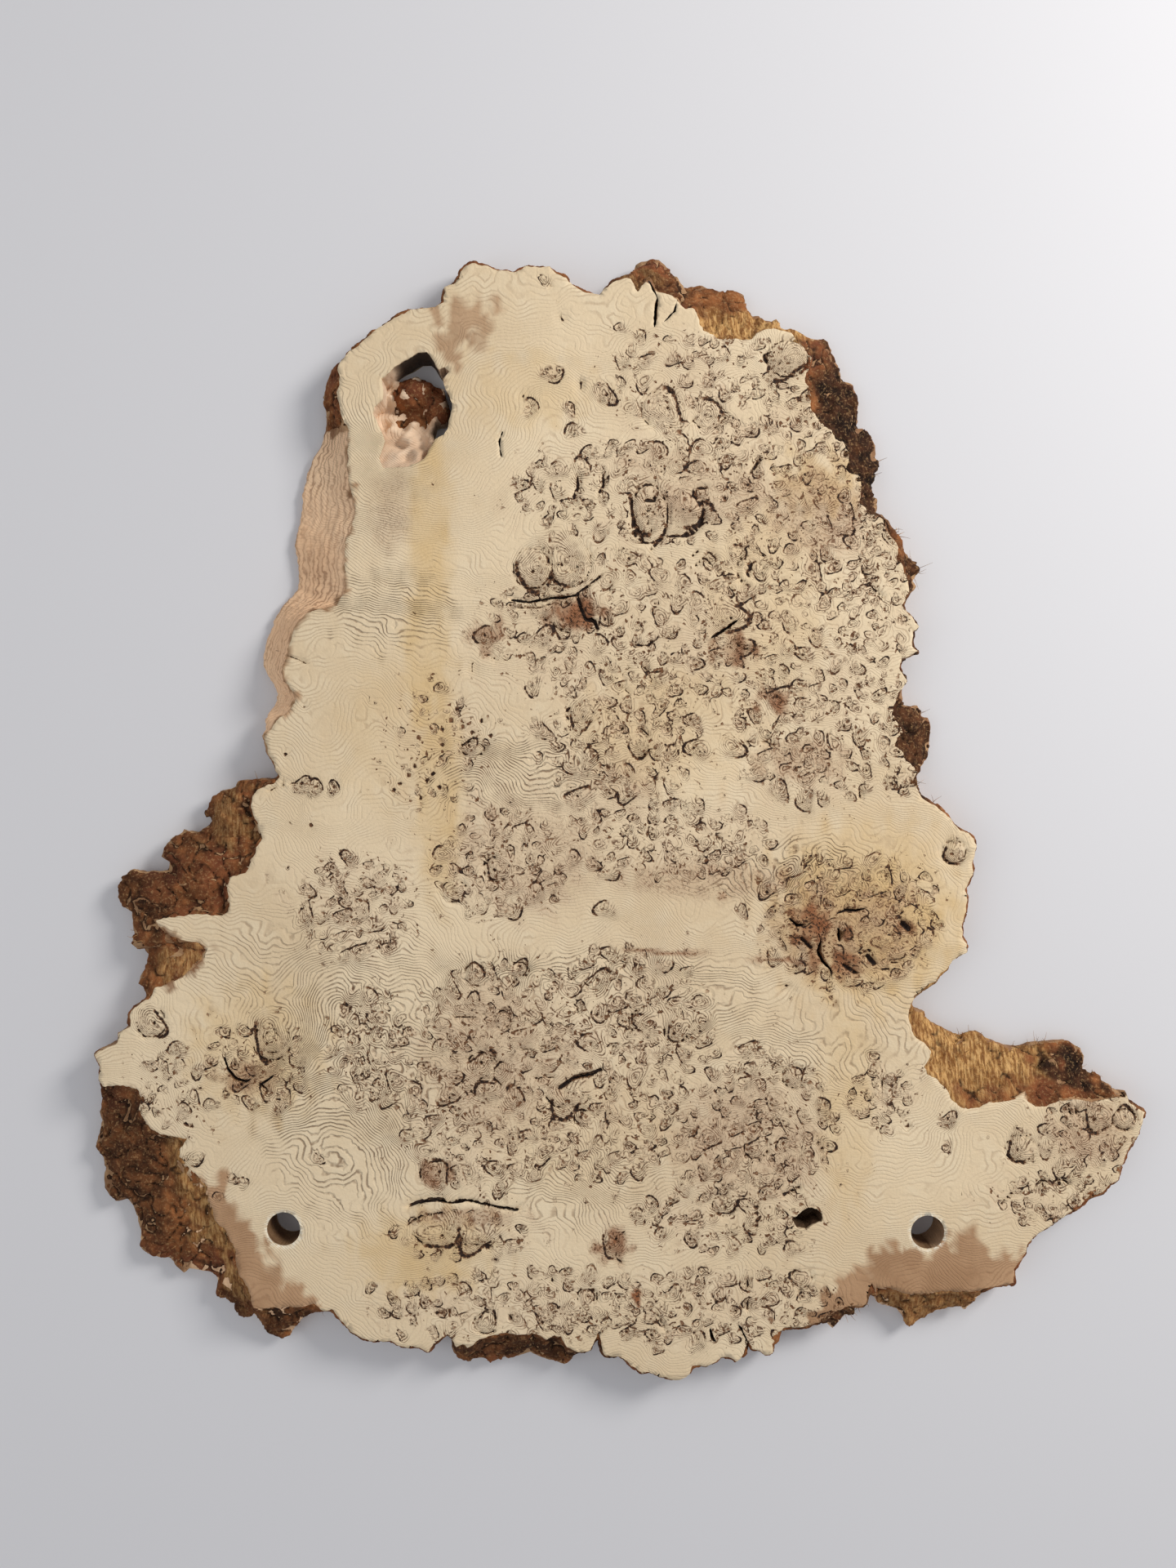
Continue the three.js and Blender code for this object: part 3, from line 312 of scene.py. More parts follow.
def waves(x, y, count, longest, shortest, seed):
    pick = random.Random(seed)
    total = np.zeros_like(x)
    for _ in range(count):
        length = shortest * (longest / shortest) ** pick.random()
        turn = pick.uniform(0, 2 * math.pi)
        start = pick.uniform(0, 2 * math.pi)
        along = (x * math.cos(turn) + y * math.sin(turn)) * 2 * math.pi / length
        total += np.sin(along + start) * length / longest
    return total


def line_distance(x, y, points):
    best = np.full(x.shape, 1e3)
    for (ax, ay), (bx, by) in zip(points, points[1:]):
        dx, dy = bx - ax, by - ay
        t = np.clip(((x - ax) * dx + (y - ay) * dy) / (dx * dx + dy * dy + 1e-9), 0, 1)
        best = np.minimum(best, np.hypot(x - ax - t * dx, y - ay - t * dy))
    return best


def inside(x, y, points):
    closed = list(points) + [points[0]]
    odd = np.zeros(x.shape, bool)
    for (ax, ay), (bx, by) in zip(closed, closed[1:]):
        if ay == by:
            continue
        odd ^= ((ay > y) != (by > y)) & (x < (bx - ax) * (y - ay) / (by - ay) + ax)
    return np.where(odd, 1, -1) * line_distance(x, y, closed)


def soft_step(value, low, high):
    t = np.clip((value - low) / (high - low), 0, 1)
    return t * t * (3 - 2 * t)


def blobs(x, y, spots, ragged=0.0):
    total = np.zeros(x.shape)
    for cx, cy, rx, ry, amount in spots:
        reach = np.hypot((x - cx) / rx, (y - cy) / ry) + ragged / max(rx, ry)
        total = np.maximum(total, amount * soft_step(1.35 - reach, 0, 0.75))
    return total


eyes = scattered_eyes()


SWIRLS = [
    (-140, 262, 75, 110, 60), (-56, 168, 40, 34, 14), (24, 204, 46, 34, 14), (111, 306, 34, 30, 14),
    (-231, -147, 50, 36, 18), (-120, -268, 60, 34, 18), (150, -70, 60, 50, 14), (312, -212, 44, 44, 16),
]


def figure(x, y):
    share = np.full(x.shape, 9.0)
    side = np.zeros(x.shape)
    weight = np.zeros(x.shape)
    pip = np.full(x.shape, 20.0)
    cone = np.zeros(x.shape)
    for ex, ey, r, dark, turn in eyes:
        near = np.nonzero((np.abs(x - ex) < 1.6 * r) & (np.abs(y - ey) < 1.6 * r))[0]
        if not len(near):
            continue
        dx, dy = x[near] - ex, y[near] - ey
        angle = np.arctan2(dy, dx)
        wobble = 1 + 0.19 * np.sin(2 * angle + 2 * turn) + 0.13 * np.sin(3 * angle + 5 * turn)
        u = np.hypot(dx, dy) * wobble / r
        cone[near] = np.maximum(cone[near], 1.15 * r * np.clip(1.3 - u, 0, 1.3))
        take = u < share[near]
        chosen = near[take]
        share[chosen] = u[take]
        side[chosen] = np.cos(angle[take] - turn) * dark
        weight[chosen] = dark * min(1, 5 / r)
        drift = np.hypot(dx - 0.25 * r * math.cos(turn), dy - 0.25 * r * math.sin(turn))[take]
        pip[chosen] = drift - (0.35 + 0.9 * dark * dark) * min(1, r / 5)
    for px, py in PIPS:
        near = np.nonzero((np.abs(x - px) < 5) & (np.abs(y - py) < 5))[0]
        reach = np.hypot(x[near] - px, y[near] - py)
        pip[near] = np.minimum(pip[near], reach - 1.5)
        cone[near] = np.maximum(cone[near], 5 - reach)
    flow = 0.62 * y + 0.1 * x + 5.5 * waves(x, y, 14, 190, 45, 3) + 0.8 * waves(x, y, 10, 30, 12, 5)
    for sx, sy, rx, ry, height in SWIRLS:
        flow += height * soft_step(1 - np.hypot((x - sx) / rx, (y - sy) / ry), -0.3, 1)
    return flow + cone, share, side, weight, pip


# The slab itself: oak burl about an inch thick, sawn on both faces, with the live edge left
# on. Its shape is the solid's own, with a finer skin so that eyes and checks have depth.
CELL = 17 * MM


def solid_copy():
    bm = bmesh.new()
    bm.from_mesh(frame["nodes"]["burl_slab"].data)
    bmesh.ops.remove_doubles(bm, verts=bm.verts, dist=2e-6)
    return bm


def on_face(face):
    return face.normal.z > 0.999 and all(v.co.z > TOP - 2e-5 for v in face.verts)


def on_back(face):
    return face.normal.z < -0.999 and all(v.co.z < 2e-5 for v in face.verts)


def sawn_flat(face):
    return on_face(face) or on_back(face)


def plan_box(centre, x0, x1, y0, y1):
    return x0 < centre.x / MM < x1 and y0 < centre.y / MM < y1


def in_hollow(centre):
    return plan_box(centre, -164, -100, 218, 330)


def on_hollow_lump(centre):
    return plan_box(centre, -153, -113, 266, 302)


def in_knot_hole(centre):
    return plan_box(centre, 110, 138, -275, -252)


def on_flank(centre):
    return plan_box(centre, -262, -172, 38, 262)


CLEFTS = [
    [(19, 357.6), (20.9, 352.8), (24.4, 345.7), (23.5, 338.7), (22.7, 326.5)],
    [(37.6, 344), (36, 337), (29, 330)],
    [(-78, 257), (-80, 251), (-79.6, 245), (-78.4, 240)],
    [(-140, -256), (-131, -252.6), (-122, -251.6), (-111, -253), (-100, -252), (-89, -254.6)],
    [(-86, -254.8), (-78, -256.4), (-68, -258.4)],
    [(-262, -157), (-259.4, -165), (-254.4, -171.4), (-248, -173), (-243, -170)],
    [(-241, -176.4), (-235, -173), (-229, -168.4)],
    [(-72, 146), (-60, 144.6), (-48, 147), (-39, 147.4), (-30, 149), (-22, 155.4), (-14, 161.4)],
    [(-28, 144.6), (-26, 140), (-24.6, 136.4), (-22, 133.4), (-19, 134), (-16.4, 131), (-15, 127)],
    [(60.4, 121), (66, 124.4), (72, 128.6), (78, 133)],
    [(-41, -177.6), (-35, -173), (-30, -170.6), (-24, -169.4), (-19, -168.4), (-13, -165)],
    [(112, -65), (117, -69.6), (123, -69)],
    [(131, -75), (132.6, -80), (131.4, -87), (134, -93), (139, -99), (140, -106)],
    [(143, -61.6), (149, -59.4), (156, -59.8), (163, -57.4)],
    [(144, -71), (145.6, -75), (145, -80)],
    [(63, -345), (60.4, -342), (59.4, -336)],
    [(84.4, -346), (81, -338), (78, -333.6)],
]
cleft_points = [
    Vector((a[0] + (b[0] - a[0]) * t + SHIFT.x, a[1] + (b[1] - a[1]) * t + SHIFT.y, 0)) * MM
    for line in CLEFTS for a, b in zip(line, line[1:]) for t in (0, 0.2, 0.4, 0.6, 0.8, 1)
]


def in_cleft(centre):
    return any((centre - point).xy.length < 3.4 * MM for point in cleft_points)


def under_bark(face):
    centre = face.calc_center_median()
    return (
        0.12 < face.normal.z < 0.999 and 0.5 * MM < centre.z < 24.6 * MM
        and (not in_hollow(centre) or on_hollow_lump(centre))
        and not on_flank(centre) and not in_knot_hole(centre)
        and face.calc_area() > 0.4 * MM * MM and not in_cleft(centre)
    )


wood_bm = solid_copy()
for axis, low, high in ((0, slab_low.x, slab_high.x), (1, slab_low.y, slab_high.y)):
    place = math.ceil(low / CELL) * CELL
    while place < high:
        faces = [f for f in wood_bm.faces if sawn_flat(f)]
        geom = faces + list({e for f in faces for e in f.edges}) + list({v for f in faces for v in f.verts})
        across = Vector((1, 0, 0)) if axis == 0 else Vector((0, 1, 0))
        bmesh.ops.bisect_plane(wood_bm, geom=geom, plane_co=across * place, plane_no=across, dist=1e-6)
        place += CELL


def on_cell_line(edge):
    a, b = (v.co for v in edge.verts)
    for axis in (0, 1):
        near = round(a[axis] / CELL) * CELL
        if abs(a[axis] - near) < 1e-5 and abs(b[axis] - near) < 1e-5:
            return True
    return False


loose = [
    e for e in wood_bm.edges
    if len(e.link_faces) == 2 and all(sawn_flat(f) for f in e.link_faces) and not on_cell_line(e)
]
bmesh.ops.dissolve_edges(wood_bm, edges=loose, use_verts=False)
spare = [
    v for v in wood_bm.verts
    if len(v.link_edges) == 2 and all(sawn_flat(f) for f in v.link_faces)
    and all(on_cell_line(e) for e in v.link_edges)
]
bmesh.ops.dissolve_verts(wood_bm, verts=spare)


def is_fine(point):
    x, y = point.x / MM - SHIFT.x, point.y / MM - SHIFT.y
    for cx, cy, rx, ry, *_ in EYE_CLUSTERS:
        if ((x - cx) / (rx + 7)) ** 2 + ((y - cy) / (ry + 7)) ** 2 < 1:
            return True
    return any(math.hypot(x - e[0], y - e[1]) < e[2] * 1.4 for e in EYES)


RIM_STEP = 1.8 * MM
FINE_STEP = 2.3 * MM
PLAIN_STEP = 4.6 * MM
SIDE_STEP = 3 * MM
HIDDEN_STEP = 8 * MM
BACK_STEP = 9 * MM


def longest_step(edge):
    faces = edge.link_faces
    if any(on_face(f) for f in faces):
        if not all(on_face(f) for f in faces):
            return RIM_STEP
        middle = (edge.verts[0].co + edge.verts[1].co) / 2
        return FINE_STEP if is_fine(middle) else PLAIN_STEP
    if all(on_back(f) for f in faces):
        return BACK_STEP
    if all(under_bark(f) for f in faces):
        return HIDDEN_STEP
    return SIDE_STEP


for _ in range(4):
    bmesh.ops.triangulate(wood_bm, faces=[f for f in wood_bm.faces if len(f.verts) > 4])
    long_edges = [e for e in wood_bm.edges if e.calc_length() > longest_step(e)]
    bmesh.ops.subdivide_edges(wood_bm, edges=long_edges, cuts=1, use_grid_fill=True)
bmesh.ops.triangulate(wood_bm, faces=[f for f in wood_bm.faces if len(f.verts) > 4])
wood_bm.normal_update()
HOLE_RADIUS = 11.1
HOLE_SURROUND = 14 * MM
SUNK_UNDER_BARK = 1.2 * MM
drilled = (left_hole, right_hole)
for vert in wood_bm.verts:
    flags = [sawn_flat(f) for f in vert.link_faces]
    if all(flags) or any((vert.co - c).xy.length < HOLE_SURROUND for c in drilled):
        continue
    if all(under_bark(f) for f in vert.link_faces):
        vert.co -= vert.normal * SUNK_UNDER_BARK
        continue
    out = Vector((vert.normal.x, vert.normal.y, 0))
    if out.length > 0.05:
        out.normalize()
        crumble = noise.noise(vert.co * 350) * 0.9 + noise.noise(vert.co * 120) * 0.9
        if in_hollow(vert.co):
            crumble *= 0.6
        vert.co += out * min(crumble, 0.8) * MM
        for axis in (0, 1):
            vert.co[axis] = min(max(vert.co[axis], slab_low[axis]), slab_high[axis])
slab = mesh_object("slab_wood", wood_bm)
places = np.zeros(len(slab.data.vertices) * 3, np.float32)
slab.data.vertices.foreach_get("co", places)
places = places.reshape(-1, 3)
x = places[:, 0] / MM - SHIFT.x
y = places[:, 1] / MM - SHIFT.y
z = places[:, 2] / MM
rings, share, side, weight, pip = figure(x, y)
check = np.full(x.shape, 20.0)
for points, half in CHECKS:
    check = np.minimum(check, line_distance(x, y, points) - half)
face = places[:, 2] > TOP - 2e-5
back = places[:, 2] < 2e-5
share[back] = 9
side[back] = 0
weight[back] = 0
pip[back] = 20
check[back] = 20


def set_values(piece, name, values):
    layer = piece.data.attributes.new(name, "FLOAT", "POINT")
    layer.data.foreach_set("value", values.astype(np.float32))


ROSY_FOOT = [
    (125, -328), (133.8, -318.2), (136, -311), (147.9, -300.3), (159.4, -294.4), (165.6, -289.7),
    (171.9, -280.3), (179.7, -280.3), (190.6, -284.2), (206.3, -285), (215.6, -278.8), (217.2, -273.3),
    (226.6, -270.2), (234.4, -272.5), (243.8, -286.6), (262.5, -287.3), (275, -300), (240, -340),
    (130, -340),
]
ROSY_LEFT = [
    (-271.3, -232.6), (-264.8, -234.3), (-262.3, -242.5), (-251.6, -258.9), (-243.4, -272),
    (-235.2, -285.1), (-227, -298.2), (-213.9, -308), (-202.5, -319.5), (-210, -345), (-270, -345),
    (-300, -280),
]
ROSY_CROWN = [
    (-122, 336), (-118, 322), (-124, 308), (-112, 300), (-104, 312), (-96, 318), (-84, 322),
    (-82, 334), (-92, 346), (-104, 344), (-112, 338),
]
BROWN_LEFT = [
    (-330, -66), (-304, -70), (-298, -75.6), (-288.9, -79.3), (-278.7, -80.2), (-270.4, -86.7),
    (-277.8, -94), (-285.2, -99.6), (-294, -107), (-304, -109.6), (-312, -107), (-330, -118),
]
FLANK = [
    (-260, 55), (-231.5, 59.6), (-226.9, 67), (-220.4, 70.7), (-214.4, 78.1), (-215.7, 85.6),
    (-222.2, 91.1), (-224.1, 98.5), (-220.4, 109.6), (-217.6, 120.7), (-213, 131.9), (-205.6, 137.4),
    (-196.3, 140.2), (-187, 142), (-182, 152), (-182, 184.5), (-177.5, 193.3), (-174.2, 203.9),
    (-177.5, 214.5), (-180, 230.8), (-180, 258), (-260, 262),
]
GOLD = [
    (-126, 190, 14, 80, 0.7), (-128, 110, 16, 60, 0.75), (-120, 20, 15, 80, 0.65),
    (-150, 60, 40, 50, 0.25), (165, -60, 62, 58, 0.8), (-240, -150, 45, 45, 0.5),
    (150, -190, 18, 70, 0.45), (-130, -285, 46, 26, 0.7), (130, 222, 26, 20, 0.6), (100, 150, 40, 60, 0.25),
    (-60, 285, 40, 25, 0.35), (-30, -210, 60, 40, 0.15), (30, 60, 60, 40, 0.3),
]
FLUSH = [
    (-30, 137, 18, 11, 0.95), (125, -70, 15, 13, 1), (150, -96, 13, 10, 1), (75, 112, 13, 10, 0.8),
    (60, 215, 44, 18, 0.22), (30, 235, 30, 12, 0.2), (-122, -234, 11, 8, 0.7), (-5, -282, 9, 10, 0.8),
    (150, -70, 48, 36, 0.35), (-88, 122, 10, 9, 0.6), (104, 80, 12, 9, 0.6), (120, 40, 30, 14, 0.35),
    (-245, -170, 20, 10, 0.5), (-100, -262, 34, 6, 0.4), (130, 205, 30, 30, 0.3), (63, -51, 3, 2.6, 1),
    (10, -313, 3, 2.6, 1), (-152, 205, 13, 26, 0.22),
    (145, -75, 6, 6, 0.9), (189, -70, 6, 5, 0.8), (133, -86, 8, 14, 0.8), (99, 80, 9, 7, 0.9),
    (-10, 20, 40, 20, 0.15), (60, -40, 60, 12, 0.3), (-80, -160, 50, 50, 0.22),
    (85, -210, 50, 40, 0.25), (-60, -20, 50, 40, 0.2), (310, -205, 26, 20, 0.3),
]
RIPPLES = [
    (-60, 32, 60, 22, 1), (105, -32, 60, 20, 1), (-180, -170, 60, 90, 0.9), (-150, -130, 40, 60, 0.6),
    (-30, -100, 120, 14, 0.7), (-150, 140, 40, 26, 0.8), (40, -120, 60, 30, 0.6), (-210, -100, 60, 40, 0.5),
    (180, -130, 40, 30, 0.4), (-30, -240, 60, 30, 0.5), (130, -150, 60, 25, 0.5), (-170, 230, 40, 60, 0.35),
]
THIN_STAIN = [(2.5, -85), (40, -88.5), (80, -90.5), (110, -92.5), (125, -95)]
ragged = 2.5 * waves(x, y, 12, 26, 8, 11)
rosy = np.maximum.reduce([
    soft_step(inside(x, y, ROSY_FOOT) + ragged, -2, 2),
    soft_step(inside(x, y, ROSY_LEFT) + ragged, -2, 2),
    0.8 * soft_step(inside(x, y, ROSY_CROWN) + 2 * ragged, -4, 5),
    soft_step(inside(x, y, FLANK) + 0.6 * ragged, -1, 1),
])
brown = soft_step(inside(x, y, BROWN_LEFT) + ragged, -1.5, 1.5)
crowd = blobs(x, y, [(cx, cy, rx, ry, 1) for cx, cy, rx, ry, *_ in EYE_CLUSTERS], 4 * ragged)
near_cleft = np.full(x.shape, 20.0)
for points in CLEFTS:
    near_cleft = np.minimum(near_cleft, line_distance(x, y, points))
bore = np.full(x.shape, 50.0)
for centre in drilled:
    reach = np.hypot(places[:, 0] - centre.x, places[:, 1] - centre.y) / MM
    bore = np.minimum(bore, np.abs(reach - HOLE_RADIUS))
# Painted shade: the walls of the drilled holes, the knot hole and the hollow's far reaches are darkened, as
# shade falls there.
painted_shade = np.where(~face & (bore < 3), 0.45, 0.0)
painted_shade = np.maximum(painted_shade, np.where(~face, 0.8 * blobs(x, y, [(123.5, -263, 15, 13, 1)]), 0))
cavity = (~face & (x > -166) & (x < -100) & (y > 216) & (y < 330)).astype(float)
HOLLOW_SHADE = [(-132, 306, 30, 7, 0.95), (-110, 280, 7, 24, 0.9), (-119, 259, 8, 8, 0.7)]
painted_shade = np.maximum(painted_shade, cavity * blobs(x, y, HOLLOW_SHADE))
set_values(slab, "rings", rings)
set_values(slab, "eye_share", share)
set_values(slab, "eye_side", side)
set_values(slab, "eye_weight", weight)
set_values(slab, "pip", pip)
set_values(slab, "check", check)
set_values(slab, "rosy", rosy)
set_values(slab, "brown", brown)
set_values(slab, "crowd", np.where(back, 2.6 * crowd, crowd))
set_values(slab, "gold", blobs(x, y, GOLD, 2 * ragged))
stain = 0.75 * soft_step(1.9 - line_distance(x, y, THIN_STAIN), 0, 1.4)
set_values(slab, "flush", np.maximum(blobs(x, y, FLUSH, ragged), stain))
set_values(slab, "ripple", blobs(x, y, RIPPLES, 3 * ragged))
set_values(slab, "painted_shade", painted_shade)
set_values(slab, "cleft", np.where(back, 20, near_cleft - 0.7))
set_values(slab, "cavity", cavity)
set_values(slab, "torn", soft_step(2.4 - bore, 0, 1.6) * face)
set_values(slab, "sawn", (face | back).astype(float))
sunk = 1.6 * soft_step(-pip, -0.6, 0.6) + 3 * soft_step(-check, -0.8, 0.6)
sunk += 0.7 * soft_step(0.2 - np.abs(share - 0.88), 0, 0.16) * np.clip(side, 0, 1)
sunk += 0.55 * soft_step(1.0 - share, 0, 0.5) * weight * (0.5 + 0.5 * waves(x, y, 9, 9, 4, 17))
places[:, 2] -= np.where(face, np.maximum(sunk, 0) * MM, 0)
flank_here = (x < -174) & (x > -262) & (y > 38) & (y < 262) & (z > 0.2) & ~face
places[:, 0] += np.where(flank_here, 0.4 * MM * np.sin(z * 1.9 + 0.8 * waves(x, y, 6, 60, 20, 31)), 0)
hollow_lumps = 1.2 * waves(x, y, 12, 16, 5, 41) * cavity
lumpy = places[:, 2] + hollow_lumps * MM * soft_step(z, 1, 3) * soft_step(24 - z, 0, 4)
places[:, 2] = np.where(cavity > 0, np.clip(lumpy, 0, TOP), places[:, 2])
slab.data.vertices.foreach_set("co", places.ravel())
slab.data.update()


def attribute(tree, name):
    return add(tree, "ShaderNodeAttribute", attribute_name=name).outputs["Fac"]


def math_node(tree, operation, a, b=0.0, c=0.0):
    return add(tree, "ShaderNodeMath", {0: a, 1: b, 2: c}, operation=operation).outputs[0]


def vector_node(tree, operation, inputs, output="Vector"):
    return add(tree, "ShaderNodeVectorMath", inputs, operation=operation).outputs[output]


def product(tree, *values):
    total = values[0]
    for value in values[1:]:
        total = math_node(tree, "MULTIPLY", total, value)
    return total


def largest(tree, *values):
    total = values[0]
    for value in values[1:]:
        total = math_node(tree, "MAXIMUM", total, value)
    return total


def ramp(tree, value, low, high, to_low=0.0, to_high=1.0):
    return add(
        tree, "ShaderNodeMapRange",
        {"Value": value, "From Min": low, "From Max": high, "To Min": to_low, "To Max": to_high},
        interpolation_type="SMOOTHSTEP",
    ).outputs[0]


def speckle(tree, coordinates, scale, detail=3.0, rough=0.55):
    return add(
        tree, "ShaderNodeTexNoise",
        {"Vector": coordinates, "Scale": scale, "Detail": detail, "Roughness": rough},
    ).outputs[0]


def blend(tree, factor, a, b, how="MIX"):
    return add(
        tree, "ShaderNodeMix", {0: factor, 6: a, 7: b}, data_type="RGBA", blend_type=how,
    ).outputs[2]


def linear(r, g, b):
    return tuple(((c / 255 + 0.055) / 1.055) ** 2.4 if c > 10 else c / 3294.6 for c in (r, g, b)) + (1,)


def tint(tree, colour, tone, *masks):
    return blend(tree, product(tree, *masks), colour, linear(*tone))


def bud_group():
    """Small buds cut across: a dark crescent, a pip and a rise for the rings round them."""
    group = bpy.data.node_groups.new("buds", "ShaderNodeTree")
    for name, kind in (("Place", "Vector"), ("Cells", "Float"), ("Crowd", "Float")):
        group.interface.new_socket(name, in_out="INPUT", socket_type="NodeSocket" + kind)
    for name in ("Dark", "Blush", "Rise"):
        group.interface.new_socket(name, in_out="OUTPUT", socket_type="NodeSocketFloat")
    entry = add(group, "NodeGroupInput").outputs
    leave = add(group, "NodeGroupOutput")
    cells = add(
        group, "ShaderNodeTexVoronoi",
        {"Vector": entry["Place"], "Scale": entry["Cells"], "Randomness": 0.9},
        voronoi_dimensions="2D", feature="F1",
    ).outputs
    draw = add(group, "ShaderNodeSeparateColor", {"Color": cells["Color"]}).outputs
    radius = math_node(group, "MULTIPLY_ADD", draw[0], 0.2, 0.24)
    reach = math_node(group, "DIVIDE", cells["Distance"], radius)
    present = math_node(group, "LESS_THAN", draw[1], entry["Crowd"])
    out = vector_node(group, "SUBTRACT", {0: entry["Place"], 1: cells["Position"]})
    out = vector_node(group, "NORMALIZE", {0: out})
    turn = math_node(group, "MULTIPLY", draw[2], 6.283)
    aim = add(
        group, "ShaderNodeCombineXYZ",
        {0: math_node(group, "COSINE", turn), 1: math_node(group, "SINE", turn)},
    ).outputs[0]
    facing = vector_node(group, "DOT_PRODUCT", {0: out, 1: aim}, "Value")
    band = math_node(group, "ABSOLUTE", math_node(group, "SUBTRACT", reach, 0.85))
    band = ramp(group, band, 0.26, 0.06)
    crescent = product(group, band, ramp(group, facing, 0.0, 0.5))
    pip = ramp(group, reach, 0.42, 0.18)
    dark = product(group, largest(group, crescent, pip), present)
    inner = product(group, ramp(group, reach, 1.15, 0.75), present)
    rise = math_node(group, "SUBTRACT", 1.2, math_node(group, "MINIMUM", reach, 1.2))
    rise = product(group, rise, present)
    group.links.new(dark, leave.inputs["Dark"])
    group.links.new(inner, leave.inputs["Blush"])
    group.links.new(rise, leave.inputs["Rise"])
    return group


wood, tree, shader = new_material("sawn_burl")
spot = add(tree, "ShaderNodeTexCoord").outputs["Object"]
fine = speckle(tree, spot, 480, 3)
middle = speckle(tree, spot, 60, 3)
broad = speckle(tree, spot, 9, 4)
patchy = speckle(tree, spot, 26, 3)
swerve = add(tree, "ShaderNodeTexNoise", {"Vector": spot, "Scale": 130, "Detail": 2}).outputs["Color"]
swerve = vector_node(tree, "SUBTRACT", {0: swerve, 1: (0.5, 0.5, 0.5)})
swerve = vector_node(tree, "SCALE", {0: swerve, "Scale": 0.005})
bent = vector_node(tree, "ADD", {0: spot, 1: swerve})
crowd_here = attribute(tree, "crowd")
share_here = attribute(tree, "eye_share")
weight_here = attribute(tree, "eye_weight")
in_bud = math_node(tree, "MULTIPLY_ADD", weight_here, 0.6, 0.3)
in_bud = product(tree, ramp(tree, share_here, 1.12, 0.85), in_bud)
crowded = math_node(tree, "MULTIPLY_ADD", crowd_here, 0.16, in_bud)
bud_share = product(tree, crowded, 0.75, ramp(tree, patchy, 0.35, 0.65, 0.45, 1.2))
buds = bud_group()
larger, smaller = (
    add(
        tree, "ShaderNodeGroup", {"Place": bent, "Cells": 1000 / gap, "Crowd": bud_share}, node_tree=buds,
    ).outputs
    for gap in (5.4, 2.7)
)
wander = math_node(tree, "MULTIPLY_ADD", fine, 1.6, -0.8)
ring_place = math_node(tree, "MULTIPLY_ADD", middle, 1.8, -0.9)
ring_place = math_node(tree, "ADD", attribute(tree, "rings"), ring_place)
ring_place = math_node(tree, "ADD", ring_place, product(tree, larger["Rise"], 2.6))
ring_saw = math_node(tree, "FRACT", math_node(tree, "DIVIDE", ring_place, 1.95))
ring_line = math_node(tree, "ABSOLUTE", math_node(tree, "SUBTRACT", ring_saw, 0.5))
ring_line = ramp(tree, ring_line, 0.24, 0.48)
in_eye = ramp(tree, share_here, 1.3, 0.85)
broken = ramp(tree, speckle(tree, bent, 170, 2), 0.42, 0.6)
ripple = attribute(tree, "ripple")
flush = attribute(tree, "flush")
cream = blend(tree, ramp(tree, broad, 0.3, 0.7), linear(229, 207, 172), linear(215, 191, 155))
cream = tint(tree, cream, (231, 213, 181), ramp(tree, middle, 0.4, 0.75, 0, 0.5))
cream = tint(tree, cream, (216, 190, 158), crowd_here, ramp(tree, patchy, 0.35, 0.65, 0.05, 0.4))
cream = tint(tree, cream, (212, 178, 122), attribute(tree, "gold"), ramp(tree, patchy, 0.3, 0.7, 0.5, 1.1))
faint = ramp(tree, speckle(tree, bent, 60, 2), 0.42, 0.7, 0.02, 0.34)
faint = math_node(tree, "ADD", faint, product(tree, crowd_here, broken, 0.18))
soft_line = product(tree, ring_line, faint)
cream = tint(tree, cream, (150, 116, 82), soft_line)
cream = tint(tree, cream, (112, 80, 54), ring_line, ripple, broken, 0.75)
blush = math_node(tree, "MULTIPLY_ADD", weight_here, 0.7, 0.15)
blush = product(tree, ramp(tree, share_here, 1.1, 0.7), blush)
blush = largest(tree, blush, product(tree, larger["Blush"], 0.5))
cream = tint(tree, cream, (204, 172, 139), blush, ramp(tree, middle, 0.38, 0.62, 0.05, 0.62))
eye_line = product(tree, ring_line, largest(tree, in_eye, larger["Blush"]), broken)
cream = tint(tree, cream, (96, 60, 36), eye_line, 0.85)
cream = tint(tree, cream, (140, 88, 54), flush, ramp(tree, middle, 0.3, 0.55, 0.45, 1))
rosy_tone = blend(tree, ramp(tree, patchy, 0.3, 0.7), linear(186, 148, 112), linear(160, 122, 88))
rosy_tone = tint(tree, rosy_tone, (128, 88, 58), soft_line, 1.1)
rosy_tone = tint(tree, rosy_tone, (142, 104, 72), ramp(tree, broad, 0.5, 0.72, 0, 0.5))
rosy_here = attribute(tree, "rosy")
cream = blend(tree, rosy_here, cream, rosy_tone)
cream = tint(tree, cream, (128, 84, 50), attribute(tree, "brown"), ramp(tree, middle, 0.3, 0.6, 0.6, 1))
arc_place = math_node(tree, "ABSOLUTE", math_node(tree, "SUBTRACT", share_here, 0.9))
arc = math_node(tree, "SUBTRACT", math_node(tree, "MULTIPLY", fine, 0.23), arc_place)
arc = product(tree, ramp(tree, arc, -0.02, 0.08), ramp(tree, attribute(tree, "eye_side"), 0.1, 0.45))
pip_mask = ramp(tree, math_node(tree, "ADD", attribute(tree, "pip"), wander), 0.45, -0.25)
check_mask = ramp(tree, math_node(tree, "ADD", attribute(tree, "check"), wander), 0.35, -0.3)
seeds = ramp(tree, speckle(tree, bent, 520, 1), 0.565, 0.63)
seeds = product(tree, seeds, largest(tree, product(tree, blush, 0.7), flush), 0.9)
flecks = ramp(tree, speckle(tree, bent, 300, 1), 0.66, 0.7)
seeds = largest(tree, seeds, product(tree, flecks, crowd_here, 0.7))
bud_dark = largest(tree, larger["Dark"], product(tree, smaller["Dark"], 0.85))
dark = largest(tree, arc, pip_mask, seeds, product(tree, bud_dark, broken))
dark = largest(tree, product(tree, dark, ramp(tree, fine, 0.3, 0.6, 0.55, 1)), check_mask)
